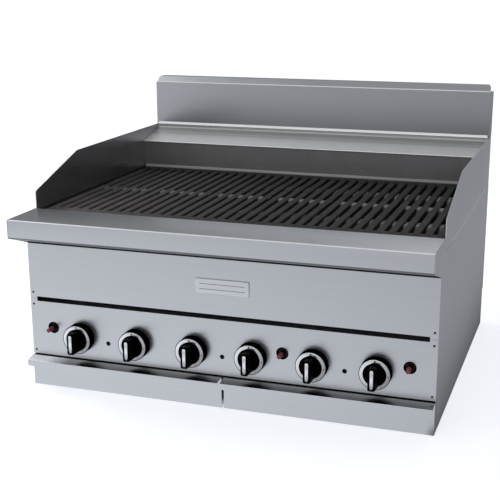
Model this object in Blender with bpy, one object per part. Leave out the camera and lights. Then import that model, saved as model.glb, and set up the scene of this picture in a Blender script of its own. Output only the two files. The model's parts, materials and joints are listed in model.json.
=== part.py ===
"""Counter-top gas charbroiler, 36 inch class.

Frame: +X to the right, +Y to the rear, +Z up, metres.  The origin is on the
flat underside of the centre rail, in the middle of the body's depth.
Sizes are in millimetres.  A place is written as x, u, z: u is the distance
behind the plane of the front panels, z the height above a datum 2.5 mm over
the underside.  at() turns them into a world point.
"""
import math
from collections import namedtuple

import bmesh
import bpy
from mathutils import Vector

# ------------------------------------------------------------------
# driving dimensions, millimetres
# ------------------------------------------------------------------
WIDTH = 900.0            # outside width
HALF = WIDTH / 2
BODY_DEPTH = 754.0       # front panel plane to the rear edge
LIFT = 2.5               # height of the datum over the underside
UNDER = -LIFT            # the underside itself
SHEET = 1.2
GAP = 0.4                # clearance between neighbouring pieces
INSIDE = HALF - SHEET - GAP     # half width clear inside the body sides

RAIL_OUT = 77.6          # landing rail in front of the panel plane
RAIL_BACK = 43.7         # rear edge of the landing rail
RAIL_TOP = 392.6
RAIL_FACE_BOTTOM = 351.9
SIDE_TOP = 365.0         # seam between the body side and the splash
BACK_FACE = 716.3        # front face of the back splash

PANEL_TOP = 324.2
PANEL_SEAM = 198.6       # between the upper panel and the valve panel
SLOT_TOP = 203.8
SLOT_BOTTOM = 193.3
SLOT_HALF = 433.5
VALVE_PANEL_BOTTOM = 70.5
TRAY_TOP = 68.0
TRAY_BOX_BACK = 36.0

KNOB_COUNT = 6
KNOB_PITCH = 132.0
KNOB_X = [(i - (KNOB_COUNT - 1) / 2) * KNOB_PITCH for i in range(KNOB_COUNT)]
KNOB_Z = 120.0
BUTTON_X = (-396.5, KNOB_PITCH, 396.5)
BUTTON_Z = 135.2
PILOT_X = (-2 * KNOB_PITCH, 0.0, 2 * KNOB_PITCH)
PILOT_HOLE_Z = 112.0
INLET_X = 400.0
INLET_Z = 82.0

Surface = namedtuple("Surface", "colour roughness metallic")
STAINLESS = Surface(colour=(0.56, 0.57, 0.59), roughness=0.32, metallic=1.0)
DARK_STEEL = Surface(colour=(0.10, 0.10, 0.105), roughness=0.50, metallic=0.9)
FRAME_STEEL = Surface(colour=(0.33, 0.33, 0.34), roughness=0.45, metallic=1.0)
CAST_IRON = Surface(colour=(0.045, 0.042, 0.040), roughness=0.62, metallic=0.6)
CHROME = Surface(colour=(0.72, 0.73, 0.75), roughness=0.14, metallic=1.0)
BLACK = Surface(colour=(0.012, 0.012, 0.013), roughness=0.28, metallic=0.0)
RED = Surface(colour=(0.42, 0.03, 0.07), roughness=0.35, metallic=0.0)
BRASS = Surface(colour=(0.62, 0.47, 0.22), roughness=0.35, metallic=1.0)
BADGE = Surface(colour=(0.62, 0.63, 0.66), roughness=0.28, metallic=1.0)


# ------------------------------------------------------------------
# outlines and placing
# ------------------------------------------------------------------
def at(x, u, z):
    """World point in metres."""
    return (x * 0.001, (u - BODY_DEPTH / 2) * 0.001, (z + LIFT) * 0.001)


def span(side, a, b):
    """The x range between distances a and b from the middle, on side -1 or 1."""
    return sorted((side * a, side * b))


def front_ring(outline, u):
    """Front-view outline [(x, z)...] as world points at depth u."""
    return [at(x, u, z) for x, z in outline]


def rounded(x0, x1, z0, z1, radius, steps):
    """Rectangle outline with rounded corners."""
    points = []
    for cx, cz, start in ((x1 - radius, z1 - radius, 0), (x0 + radius, z1 - radius, 90),
                          (x0 + radius, z0 + radius, 180), (x1 - radius, z0 + radius, 270)):
        for k in range(steps + 1):
            angle = math.radians(start + 90.0 * k / steps)
            points.append((cx + radius * math.cos(angle), cz + radius * math.sin(angle)))
    return points


def offset_path(path, distance):
    """The open path moved to its left, with mitred corners."""
    points = [Vector(p) for p in path]
    legs = [(b - a).normalized() for a, b in zip(points, points[1:])]
    normals = [Vector((-leg.y, leg.x)) for leg in legs]
    moved = [tuple(points[0] + normals[0] * distance)]
    for point, before, after in zip(points[1:], normals, normals[1:]):
        mitre = (before + after).normalized()
        moved.append(tuple(point + mitre * (distance / mitre.dot(before))))
    moved.append(tuple(points[-1] + normals[-1] * distance))
    return moved


def folded(path, thickness):
    """Closed outline of a folded sheet: the metal lies to the left of the path."""
    return list(path) + offset_path(path, thickness)[::-1]


# ------------------------------------------------------------------
# solids
# ------------------------------------------------------------------
def link(bm):
    bmesh.ops.recalc_face_normals(bm, faces=bm.faces)
    mesh = bpy.data.meshes.new("part")
    bm.to_mesh(mesh)
    bm.free()
    obj = bpy.data.objects.new("part", mesh)
    bpy.context.scene.collection.objects.link(obj)
    return obj


def box(x0, x1, u0, u1, z0, z1):
    bm = bmesh.new()
    v = [bm.verts.new(at(x, u, z)) for x in (x0, x1) for u in (u0, u1) for z in (z0, z1)]
    for face in ((0, 1, 3, 2), (4, 6, 7, 5), (0, 4, 5, 1), (2, 3, 7, 6),
                 (0, 2, 6, 4), (1, 5, 7, 3)):
        bm.faces.new([v[i] for i in face])
    return link(bm)


def loft(rings):
    """Closed rings of world points, joined in order, with both ends capped."""
    bm = bmesh.new()
    rows = [[bm.verts.new(p) for p in ring] for ring in rings]
    count = len(rows[0])
    bm.faces.new(rows[0])
    bm.faces.new(rows[-1])
    for a, b in zip(rows, rows[1:]):
        for i in range(count):
            j = (i + 1) % count
            bm.faces.new((a[i], a[j], b[j], b[i]))
    return link(bm)


def side_prism(outline, x0, x1):
    """Side-view outline [(u, z)...] extruded across the width."""
    return loft([[at(x, u, z) for u, z in outline] for x in (x0, x1)])


def front_prism(outline, u0, u1):
    """Front-view outline [(x, z)...] extruded along the depth."""
    return loft([front_ring(outline, u) for u in (u0, u1)])


def bent_sheet(path, thickness, half_width):
    """Folded side-view path [(u, z)...], centred across the width."""
    return side_prism(folded(path, thickness), -half_width, half_width)


def turned(profile, segments, x=0.0, u=0.0, z=0.0, axis="Y"):
    """Solid of revolution about a line through (x, u, z).

    profile is a closed loop of (radius, position); position is the x, u or z
    coordinate along the axis.  A zero radius lies on the axis.
    """
    bm = bmesh.new()
    rings = []
    for radius, position in profile:
        ring = []
        for k in range(segments if radius > 0 else 1):
            angle = 2 * math.pi * k / segments
            p, q = radius * math.cos(angle), radius * math.sin(angle)
            if axis == "Y":
                point = at(x + p, position, z + q)
            elif axis == "X":
                point = at(position, u + p, z + q)
            else:
                point = at(x + p, u + q, position)
            ring.append(bm.verts.new(point))
        rings.append(ring)
    for a, b in zip(rings, rings[1:] + rings[:1]):
        if len(a) == 1 and len(b) == 1:
            continue
        for k in range(segments):
            m = (k + 1) % segments
            if len(a) == 1:
                bm.faces.new((a[0], b[k], b[m]))
            elif len(b) == 1:
                bm.faces.new((a[k], a[m], b[0]))
            else:
                bm.faces.new((a[k], a[m], b[m], b[k]))
    return link(bm)


def cylinder(radius, start, end, segments, **place):
    """Solid cylinder; place is turned()'s x, u, z and axis."""
    return turned([(0, start), (radius, start), (radius, end), (0, end)], segments, **place)


def rod(places, radius, segments):
    """Round bar or tube along straight legs, mitred at the corners."""
    points = [Vector(at(*p)) for p in places]
    legs = [(b - a).normalized() for a, b in zip(points, points[1:])]
    up = Vector((0, 0, 1)) if abs(legs[0].z) < 0.9 else Vector((1, 0, 0))
    side = legs[0].cross(up).normalized()
    rings = []
    for i, point in enumerate(points):
        leg_in = legs[max(0, i - 1)]
        leg_out = legs[min(len(legs) - 1, i)]
        if i > 0:
            side = side - leg_in * side.dot(leg_in)
            side.normalize()
        top = leg_in.cross(side).normalized()
        normal = (leg_in + leg_out).normalized()
        ring = []
        for k in range(segments):
            angle = 2 * math.pi * (k + 0.5) / segments
            q = (side * math.cos(angle) + top * math.sin(angle)) * (radius * 0.001)
            # slide the point along the leg onto the mitre plane
            q = q - leg_in * (q.dot(normal) / leg_in.dot(normal))
            ring.append(tuple(point + q))
        rings.append(ring)
        side = side - leg_out * side.dot(leg_out)
        side.normalize()
    return loft(rings)


def combine(base, others, operation):
    """Boolean the others into the base, one at a time."""
    for other in others:
        modifier = base.modifiers.new("boolean", "BOOLEAN")
        modifier.operation = operation
        modifier.solver = "EXACT"
        modifier.object = other
        bpy.context.view_layer.update()
        graph = bpy.context.evaluated_depsgraph_get()
        mesh = bpy.data.meshes.new_from_object(base.evaluated_get(graph))
        base.modifiers.clear()
        spent = (base.data, other.data)
        base.data = mesh
        bpy.data.objects.remove(other, do_unlink=True)
        for old_mesh in spent:
            bpy.data.meshes.remove(old_mesh)
    return base


def union(base, *others):
    return combine(base, others, "UNION")


def cut(base, *others):
    return combine(base, others, "DIFFERENCE")


def make_material(name, surface):
    material = bpy.data.materials.new(name)
    material.use_nodes = True
    inputs = material.node_tree.nodes["Principled BSDF"].inputs
    inputs["Base Color"].default_value = (*surface.colour, 1.0)
    inputs["Roughness"].default_value = surface.roughness
    inputs["Metallic"].default_value = surface.metallic
    return material


def finish(obj, name, surface, smooth=False):
    """Tidy the mesh, name the piece and give it its own material."""
    bm = bmesh.new()
    bm.from_mesh(obj.data)
    bmesh.ops.remove_doubles(bm, verts=bm.verts, dist=0.000002)
    bmesh.ops.dissolve_limit(bm, angle_limit=math.radians(0.05),
                             verts=bm.verts, edges=bm.edges)
    bmesh.ops.recalc_face_normals(bm, faces=bm.faces)
    bm.to_mesh(obj.data)
    bm.free()
    obj.name = name
    obj.data.name = name
    obj.data.materials.clear()
    obj.data.materials.append(make_material(name, surface))
    if smooth:
        obj.data.shade_smooth()
        obj.data.set_sharp_from_angle(angle=math.radians(35))


def set_origin(obj, place):
    """Move the object's origin without moving its shape."""
    origin = Vector(at(*place))
    for vertex in obj.data.vertices:
        vertex.co -= origin
    obj.location = origin


# ------------------------------------------------------------------
# body sides: the front of each side reaches forward as an ear that closes
# the end of the landing rail; the lower front corner is cut back for the
# drip tray's front box, the lower rear corner for the jogged back panel
# ------------------------------------------------------------------
NOTCH_U, NOTCH_Z = 743.0, 91.0      # lower rear corner
SIDE_OUTLINE = [                    # (u, z)
    (TRAY_BOX_BACK + GAP, UNDER), (NOTCH_U, UNDER), (NOTCH_U, NOTCH_Z),
    (BODY_DEPTH, NOTCH_Z), (BODY_DEPTH, SIDE_TOP), (RAIL_BACK + GAP, SIDE_TOP),
    (RAIL_BACK + GAP, RAIL_TOP), (-RAIL_OUT, RAIL_TOP),
    (-RAIL_OUT, RAIL_FACE_BOTTOM), (SHEET + GAP, PANEL_TOP + 0.6),
    (SHEET + GAP, TRAY_TOP + 0.5), (TRAY_BOX_BACK + GAP, TRAY_TOP + 0.5),
]

# raised splashes standing on the body sides, each with two tabs below
SPLASH_TOP = 490.0
SPLASH_KNEE = 243.5      # depth where the slope meets the level top
SPLASH_FRONT_TOP = 430.6
SPLASH_OUTLINE = [       # (u, z)
    (RAIL_BACK + 1.0, SIDE_TOP + GAP), (BODY_DEPTH - 0.6, SIDE_TOP + GAP),
    (BODY_DEPTH - 0.6, SPLASH_TOP - 0.2), (SPLASH_KNEE, SPLASH_TOP),
    (RAIL_BACK + 5.0, SPLASH_FRONT_TOP + 1.4),
    (RAIL_BACK + 1.0, SPLASH_FRONT_TOP - 2.6),
]
SPLASH_INSET = 0.4       # outer face in from the body's outside
TAB_INSET = 1.6
SPLASH_SHEET = 2.0
TAB_U, TAB_LENGTH = (120, 500), 40
TAB_BOTTOM, TAB_TOP = 342, 373


def build_side(side, prefix):
    panel = side_prism(SIDE_OUTLINE, *span(side, HALF, HALF - SHEET))
    finish(panel, prefix + "_side_panel", STAINLESS)

    outer = HALF - SPLASH_INSET
    plate = side_prism(SPLASH_OUTLINE, *span(side, outer, outer - SPLASH_SHEET))
    outer = HALF - TAB_INSET
    tabs = [box(*span(side, outer, outer - SPLASH_SHEET), u, u + TAB_LENGTH,
                TAB_BOTTOM, TAB_TOP) for u in TAB_U]
    finish(union(plate, *tabs), prefix + "_side_splash", STAINLESS)


# ------------------------------------------------------------------
# rear: jogged back panel, back splash, flue shelf, firebox rear wall
# ------------------------------------------------------------------
REAR_HALF = 447.0        # half width of the rear sheets
BACK_PANEL_PATH = [(741.4, 8.0), (741.4, 92.0), (752.4, 92.0), (752.4, 602.0)]
INLET_HOLE_R = 16

BACK_BOTTOM = 490.6      # back splash heights
BACK_FACE_TOP = 604.2
BACK_TOP = 618.5
BACK_HALF = 449.8
BACK_STATIONS = [        # (u, z, half width)
    (BACK_FACE, BACK_BOTTOM, BACK_HALF),
    (BACK_FACE, BACK_FACE_TOP - 0.4, BACK_HALF),
    (BACK_FACE + 0.5, BACK_FACE_TOP + 0.5, 446.0),
    (BACK_FACE + 11.3, BACK_FACE_TOP + 11.3, 446.0),
    (BACK_FACE + 14.3, BACK_TOP, 441.5),
    (752.2, BACK_TOP, 440.0),
]

# (u, z) paths
SHELF_PATH = [(622.6, 455.4), (616.6, 454.4), (614.6, 456.3), (616.2, 458.2),
              (686.0, 470.4), (711.4, 481.0), (711.4, 489.0)]
REAR_WALL_PATH = [(627.0, 342.0), (627.0, 457.6), (640.0, 460.0)]
REAR_SKIRT_PATH = [(636.0, 250.0), (627.0, 250.0), (627.0, 343.0)]
REAR_SKIRT_HALF = 428.0


def build_back_panel():
    panel = bent_sheet(BACK_PANEL_PATH, SHEET, REAR_HALF)
    hole = cylinder(INLET_HOLE_R, 730, 760, segments=24, x=INLET_X, z=INLET_Z)
    finish(cut(panel, hole), "back_panel", STAINLESS)


def build_back_splash():
    inner = offset_path([(u, z) for u, z, _ in BACK_STATIONS], -SHEET)
    splash = loft([[at(-half, u, z), at(half, u, z),
                    at(half, inner_u, inner_z), at(-half, inner_u, inner_z)]
                   for (u, z, half), (inner_u, inner_z) in zip(BACK_STATIONS, inner)])
    # strip along the lower front edge, then the two end returns
    parts = [box(-445.0, 445.0, BACK_FACE - 4.0, BACK_FACE + 0.6, 489.6, 496.4)]
    parts += [box(*span(side, BACK_HALF, BACK_HALF - SHEET),
                  BACK_FACE + 0.3, BODY_DEPTH - 0.3, BACK_BOTTOM, 602.0)
              for side in (-1, 1)]
    finish(union(splash, *parts), "back_splash", STAINLESS)


def build_flue_shelf():
    finish(bent_sheet(SHELF_PATH, -SHEET, REAR_HALF), "flue_shelf", STAINLESS)


def build_firebox_rear_wall():
    wall = bent_sheet(REAR_WALL_PATH, -SHEET, REAR_HALF)
    skirt = bent_sheet(REAR_SKIRT_PATH, -SHEET, REAR_SKIRT_HALF)
    finish(union(wall, skirt), "firebox_rear_wall", DARK_STEEL)


# ------------------------------------------------------------------
# front: landing rail, front panels, badge, heat shield
# ------------------------------------------------------------------
RAIL_SHEET = 1.5
# (u, z) paths
RAIL_PATH = [(-44.0, 340.6), (-RAIL_OUT, RAIL_FACE_BOTTOM), (-RAIL_OUT, RAIL_TOP),
             (RAIL_BACK, RAIL_TOP), (RAIL_BACK, 376.0)]
SHIELD_PATH = [(50.5, 378.0), (50.5, 352.0), (66.0, 334.0), (66.0, 176.0)]
SHIELD_HALF = 420.0

# front views (x, z); each panel has half of the slot along the seam
UPPER_SEAM = PANEL_SEAM + 0.2
UPPER_OUTLINE = [
    (-HALF, UPPER_SEAM), (-SLOT_HALF, UPPER_SEAM), (-SLOT_HALF, SLOT_TOP),
    (SLOT_HALF, SLOT_TOP), (SLOT_HALF, UPPER_SEAM), (HALF, UPPER_SEAM),
    (HALF, PANEL_TOP), (-HALF, PANEL_TOP),
]
VALVE_SEAM = PANEL_SEAM - 0.2
VALVE_OUTLINE = [
    (-HALF, VALVE_PANEL_BOTTOM), (HALF, VALVE_PANEL_BOTTOM), (HALF, VALVE_SEAM),
    (SLOT_HALF, VALVE_SEAM), (SLOT_HALF, SLOT_BOTTOM), (-SLOT_HALF, SLOT_BOTTOM),
    (-SLOT_HALF, VALVE_SEAM), (-HALF, VALVE_SEAM),
]
VALVE_PANEL_HOLES = [    # (x places, z, radius, segments)
    (KNOB_X, KNOB_Z, 9, 20),
    (BUTTON_X, BUTTON_Z, 13.3, 28),
    (PILOT_X, PILOT_HOLE_Z, 5.2, 16),
]

BADGE_X0, BADGE_X1 = -57.0, 61.0
BADGE_Z0, BADGE_Z1 = 248.0, 281.0
BADGE_STATIONS = ((-0.3, 0.0), (-2.2, 0.0), (-3.2, 1.2))    # (u, edge inset)


def build_plate_rail():
    finish(bent_sheet(RAIL_PATH, -RAIL_SHEET, INSIDE), "plate_rail", STAINLESS)


def flanged_panel(outline, flange_half, flange_back, flange_edge, side_z0, side_z1):
    """Front panel with a flange turned back under flange_edge and at both ends."""
    top = flange_edge - 0.1
    flanges = [box(-flange_half, flange_half, 0.5, flange_back, top - SHEET, top)]
    flanges += [box(*span(side, 448.2, 447.0), 0.6, 18.0, side_z0, side_z1)
                for side in (-1, 1)]
    return union(front_prism(outline, 0, SHEET), *flanges)


def build_upper_front_panel():
    panel = flanged_panel(UPPER_OUTLINE, flange_half=448.0, flange_back=24.0,
                          flange_edge=PANEL_TOP,
                          side_z0=PANEL_SEAM + 3.0, side_z1=PANEL_TOP - 0.6)
    finish(panel, "upper_front_panel", STAINLESS)


def build_valve_panel():
    panel = flanged_panel(VALVE_OUTLINE, flange_half=432.0, flange_back=22.0,
                          flange_edge=SLOT_BOTTOM,
                          side_z0=VALVE_PANEL_BOTTOM + 0.4, side_z1=PANEL_SEAM - 3.0)
    holes = [cylinder(radius, -5, 6, segments, x=x, z=z)
             for places, z, radius, segments in VALVE_PANEL_HOLES for x in places]
    finish(cut(panel, *holes), "valve_panel", STAINLESS)


def build_name_plate():
    rings = [front_ring(rounded(BADGE_X0 + inset, BADGE_X1 - inset,
                                BADGE_Z0 + inset, BADGE_Z1 - inset, radius=2.5, steps=2), u)
             for u, inset in BADGE_STATIONS]
    finish(loft(rings), "name_plate", BADGE)


def build_heat_shield():
    finish(bent_sheet(SHIELD_PATH, SHEET, SHIELD_HALF), "front_heat_shield", DARK_STEEL)


# ------------------------------------------------------------------
# welded base frame; the end faces of crossing bars are staggered a
# little so that few of them coincide
# ------------------------------------------------------------------
# (x0, x1, u0, u1, z0, z1)
BOTTOM_BARS = [
    (-20, 20, 40, 738, UNDER, 3),                       # centre rail and its web
    (-3, 3, 41, 737, 2, 62),
    (-INSIDE + 3, INSIDE - 3, 66, 96, UNDER, 2.9),      # front and rear cross bars
    (-INSIDE + 3, INSIDE - 3, 705, 737.5, UNDER, 2.8),
]
# on each side: (x nearer the middle, x farther out, u0, u1, z0, z1)
SIDE_BARS = [
    (430, INSIDE, 38, 740, UNDER, 3),                   # tray runner and its web
    (445.2, INSIDE - 0.1, 38.2, 739.8, 0.5, 60),
    (443.4, INSIDE - 0.2, 38.4, 63, 0.6, 339),          # front post
    (421, INSIDE - 0.3, 60, 62.8, 56, 338.8),
    (443.4, INSIDE - 0.2, 712, 737, 0.6, 339),          # rear post
    (421, INSIDE - 0.3, 734, 736.8, 56, 338.8),
    (430, INSIDE - 0.4, 38.6, 736.6, 336, 339.4),       # top rail
    (440, INSIDE - 0.5, 38.8, 736.4, 178, 183.2),       # radiant ledge
    (440, INSIDE - 0.5, 39, 736.2, 98, 103.4),          # burner ledge
]
# (x0, x1, u0, u1, z0, z1)
CROSS_BARS = [
    (-446, 446, 98, 107, 179, 183.4),                   # under the radiants
    (-446, 446, 603, 612, 179, 183.4),
    (-446, 446, 160, 175, 99, 103.6),                   # under the burners
    (-446, 446, 575, 590, 99, 103.6),
    (-446.5, 446.5, 45, 58.5, 56, 66),                  # low front bar
]


def build_base_frame():
    bars = [box(*row) for row in BOTTOM_BARS]
    for side in (-1, 1):
        bars += [box(*span(side, near, far), *rest) for near, far, *rest in SIDE_BARS]
    bars += [box(*row) for row in CROSS_BARS]
    finish(union(*bars), "base_frame", FRAME_STEEL)


# ------------------------------------------------------------------
# grate frame: end rails and the two sloping support rails
# ------------------------------------------------------------------
GRATE_RAILS = [          # (half width, side-view outline (u, z))
    (444.5, [(60, 384), (60, 360.4), (98, 360.4), (98, 363.4), (63, 363.4), (63, 384)]),
    (443.0, [(585, 360.4), (620.6, 360.4), (620.6, 394.5), (617.6, 394.5),
             (617.6, 363.4), (585, 363.4)]),
    (444.0, [(188, 378.6), (188, 352), (192, 352), (192, 374.2), (250, 367.2),
             (250, 371)]),
    (444.0, [(457, 378.6), (457, 352), (461, 352), (461, 374), (560, 362.2),
             (560, 366.2)]),
]


def build_grate_frame():
    rails = [side_prism(outline, -half, half) for half, outline in GRATE_RAILS]
    rails += [box(*span(side, 441.0, 445.2), 60.5, 620.0, 340.0, 375.0) for side in (-1, 1)]
    finish(union(*rails), "grate_frame", FRAME_STEEL)


# ------------------------------------------------------------------
# cast-iron grate sections, lifted out one at a time
# ------------------------------------------------------------------
BAR_COUNT = 36
BARS_PER_GRATE = 6
BAR_PITCH = 24.686
BAR_TOP = 386.6
BAR_DEPTH = 22.6
BAR_FRONT = 84.0
BAR_END = 611.0
BAR_TOP_HALF, BAR_BOTTOM_HALF = 8.0, 5.5
BAR_STATIONS = ((BAR_FRONT, 0.0), (602.0, 0.0), (608.5, 4.5), (BAR_END, 10.5))  # (u, drop)
GRATE_HALF = 440.4       # half width over all sections
GRATE_ORIGIN_U = 340
# recesses under the bars for the support rails: (u0, u1, z0, z1)
GRATE_RECESSES = ((184, 256, 355, 379.2), (453, 566, 355, 379.2))


def grate_bar(x):
    """Tapered bar, wider at the top, with a rounded-off rear end."""
    bottom = BAR_TOP - BAR_DEPTH
    return loft([[at(x - BAR_TOP_HALF, u, BAR_TOP - drop),
                  at(x + BAR_TOP_HALF, u, BAR_TOP - drop),
                  at(x + BAR_BOTTOM_HALF, u, bottom), at(x - BAR_BOTTOM_HALF, u, bottom)]
                 for u, drop in BAR_STATIONS])


def build_grate(index):
    xs = [(index * BARS_PER_GRATE + k - (BAR_COUNT - 1) / 2) * BAR_PITCH
          for k in range(BARS_PER_GRATE)]
    left = max(xs[0] - BAR_PITCH / 2 + GAP, -GRATE_HALF)
    right = min(xs[-1] + BAR_PITCH / 2 - GAP, GRATE_HALF)
    front_plate = box(left, right, 68, 97, 364.4, 386.0)
    rib = box(xs[0], xs[-1], 326, 352, 366, 384.4)
    grate = union(front_plate, *[grate_bar(x) for x in xs], rib)
    cut(grate, *[box(left - 5, right + 5, *recess) for recess in GRATE_RECESSES])
    finish(grate, f"grate_{index + 1}", CAST_IRON)
    set_origin(grate, ((left + right) / 2, GRATE_ORIGIN_U, BAR_TOP))


# ------------------------------------------------------------------
# gas train; profiles are (radius, u) loops
# ------------------------------------------------------------------
MANIFOLD_U = 46.0
PIPE_R = 13.4
INLET_R = PIPE_R + 0.2
INLET_PROFILE = [(0, MANIFOLD_U - 4), (INLET_R, MANIFOLD_U - 4), (INLET_R, 752),
                 (9.4, 752), (9.4, 700), (0, 700)]
VALVE_PROFILE = [(0, -20), (3, -20), (3, 8), (11, 8), (11, 34), (5.5, 34), (5.5, 84),
                 (0, 84)]
BURNER_TUBE_PROFILE = [(0, 164), (15, 164), (15, 80), (18, 74), (12, 74), (11, 82),
                       (11, 118), (0, 118)]
BURNER_HALF = 22
BURNER_OUTLINE = [       # (u, z)
    (150, 104), (598, 104), (598, 140), (590, 148), (158, 148), (150, 140),
]
RADIANT_PATH = ((-54, 186.2), (-6, 232.0), (6, 232.0), (54, 186.2))     # (x, z)
RADIANT_THICKNESS = 2.5
RADIANT_FRONT, RADIANT_BACK = 95.0, 611.0


def build_manifold():
    manifold = cylinder(PIPE_R, -412, INLET_X + 4, segments=20,
                        u=MANIFOLD_U, z=INLET_Z, axis="X")
    inlet = turned(INLET_PROFILE, segments=20, x=INLET_X, z=INLET_Z)
    pilots = [rod([(x, MANIFOLD_U, 86), (x, MANIFOLD_U, 168), (x, 108, 168)],
                  radius=3, segments=8) for x in PILOT_X]
    finish(union(manifold, inlet, *pilots), "gas_manifold", FRAME_STEEL, smooth=True)


def build_gas_valve(number, x):
    body = turned(VALVE_PROFILE, segments=16, x=x, z=KNOB_Z)
    tail = cylinder(6.5, 95.9, 119, segments=12, x=x, u=42, axis="Z")
    finish(union(body, tail), f"gas_valve_{number}", BRASS, smooth=True)


def build_burner(number, x):
    tube = turned(BURNER_TUBE_PROFILE, segments=16, x=x, z=KNOB_Z)
    head = side_prism(BURNER_OUTLINE, x - BURNER_HALF, x + BURNER_HALF)
    finish(union(tube, head), f"burner_{number}", CAST_IRON, smooth=True)


def build_radiant(number, x):
    """Tent-shaped cover over one burner."""
    path = [(x + dx, z) for dx, z in RADIANT_PATH]
    tent = front_prism(folded(path, -RADIANT_THICKNESS), RADIANT_FRONT, RADIANT_BACK)
    finish(tent, f"radiant_{number}", CAST_IRON)


# ------------------------------------------------------------------
# knobs, igniters and their buttons; profiles are (radius, u) loops
# ------------------------------------------------------------------
BEZEL_PROFILE = [(9, -0.4), (32.7, -0.4), (32.7, -20.6), (31.7, -22.2), (24.5, -22.2),
                 (24.0, -16.2), (9, -16.2)]
KNOB_ORIGIN_U = -20
GRIP_STATIONS = [        # (u, half width, z below and above the axis, corner radius)
    (-21.2, 9, -18, 18, 7.0),
    (-23.1, 10, -25.4, 22.4, 7.0),
    (-48.5, 8.3, -24.6, 22.0, 6.0),
    (-51.5, 6.5, -23.0, 20.4, 4.5),
]
IGNITER_PROFILE = [(0, 56), (10.5, 56), (10.5, 7), (5.4, 7), (5.4, 24), (0, 24)]
BUTTON_FRONT = -25
BUTTON_PROFILE = [(0, BUTTON_FRONT), (3.2, -24.6), (4.5, -23.0), (4.5, 13.5), (0, 13.5)]


def build_bezel(number, x):
    bezel = turned(BEZEL_PROFILE, segments=24, x=x, z=KNOB_Z)
    finish(bezel, f"knob_bezel_{number}", CHROME, smooth=True)


def build_knob(number, x):
    """Disc with an upright grip in front and a blind hole for the valve stem."""
    disc = cylinder(23.4, -22.6, -16.8, segments=24, x=x, z=KNOB_Z)
    rings = []
    for u, half, low, high, radius in GRIP_STATIONS:
        outline = rounded(-half, half, low, high, radius, steps=3)
        rings.append(front_ring([(x + dx, KNOB_Z + dz) for dx, dz in outline], u))
    knob = union(disc, loft(rings))
    cut(knob, cylinder(4.2, -10, -24.2, segments=12, x=x, z=KNOB_Z))
    finish(knob, f"knob_{number}", BLACK, smooth=True)
    set_origin(knob, (x, KNOB_ORIGIN_U, KNOB_Z))


def build_igniter(number, x, pilot_x):
    """Igniter body with a lead running back to its pilot tube."""
    body = turned(IGNITER_PROFILE, segments=16, x=x, z=BUTTON_Z)
    side = 1 if x > pilot_x else -1
    lead = rod([(x, 52, BUTTON_Z), (x, 72, 150), (x - side * 66, 92, 166),
                (pilot_x + side * 16, 110, 166), (pilot_x + side * 9, 119, 172)],
               radius=1.6, segments=6)
    finish(union(body, lead), f"igniter_{number}", BLACK, smooth=True)


def build_button(number, x):
    button = turned(BUTTON_PROFILE, segments=16, x=x, z=BUTTON_Z)
    finish(button, f"igniter_button_{number}", RED, smooth=True)
    set_origin(button, (x, BUTTON_FRONT, BUTTON_Z))


# ------------------------------------------------------------------
# two drip trays side by side: front box with pull lip, long shallow pan
# ------------------------------------------------------------------
TRAYS = [                # (name, box left, box right, pan left, pan right)
    ("drip_tray_left", -449.6, -1.0, -443.0, -9.0),
    ("drip_tray_right", 4.0, 449.6, 9.0, 443.0),
]
TRAY_FACE = -3.7
TRAY_ORIGIN_Z = 34
PAN_BACK = 700
PAN_BOTTOM, PAN_TOP = 3.4, 50
LIP_OUT = -29.6
LIP_Z = 64.0
LIP_BOTTOM = 50.4
LIP_OUTLINE = [          # (u, z)
    (TRAY_FACE + 0.4, TRAY_TOP - 0.2), (LIP_OUT + 0.6, LIP_Z),
    (LIP_OUT, LIP_Z - 0.8), (LIP_OUT, LIP_BOTTOM), (LIP_OUT + 1.4, LIP_BOTTOM),
    (LIP_OUT + 1.4, LIP_Z - 1.6), (TRAY_FACE + 0.4, TRAY_TOP - 2.0),
]


def build_tray(name, left, right, pan_left, pan_right):
    tray = box(left, right, TRAY_FACE, TRAY_BOX_BACK, UNDER, TRAY_TOP)
    union(tray, box(pan_left, pan_right, TRAY_BOX_BACK - 1, PAN_BACK, PAN_BOTTOM, PAN_TOP))
    # hollow out the front box and the pan, both open at the top
    cut(tray,
        box(left + SHEET, right - SHEET, TRAY_FACE + SHEET, TRAY_BOX_BACK - SHEET,
            UNDER + SHEET, TRAY_TOP + 10),
        box(pan_left + SHEET, pan_right - SHEET, TRAY_BOX_BACK + 0.2, PAN_BACK - SHEET,
            PAN_BOTTOM + SHEET, 90))
    union(tray, side_prism(LIP_OUTLINE, left + 0.3, right - 0.3))
    finish(tray, name, STAINLESS)
    set_origin(tray, ((left + right) / 2, TRAY_FACE, TRAY_ORIGIN_Z))


def build_all():
    build_side(-1, "left")
    build_side(1, "right")
    build_back_panel()
    build_back_splash()
    build_flue_shelf()
    build_firebox_rear_wall()
    build_plate_rail()
    build_upper_front_panel()
    build_valve_panel()
    build_name_plate()
    build_heat_shield()
    build_base_frame()
    build_grate_frame()
    for index in range(BAR_COUNT // BARS_PER_GRATE):
        build_grate(index)
    build_manifold()
    for number, x in enumerate(KNOB_X, start=1):
        for build in (build_gas_valve, build_burner, build_radiant, build_bezel, build_knob):
            build(number, x)
    for number, (x, pilot_x) in enumerate(zip(BUTTON_X, PILOT_X), start=1):
        build_igniter(number, x, pilot_x)
        build_button(number, x)
    for tray in TRAYS:
        build_tray(*tray)


for old in list(bpy.data.objects):
    bpy.data.objects.remove(old, do_unlink=True)
build_all()
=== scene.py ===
"""Looks of a counter-top gas charbroiler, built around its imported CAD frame.

The front faces -Y, left is -X, up is +Z.  Shapes are in mm: x and z from the origin, y back
from the plane of the front panels (see at()).  Distances in materials are in metres.
"""
import json
import math
import bmesh
import bpy
from mathutils import Matrix, Vector, noise

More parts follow.
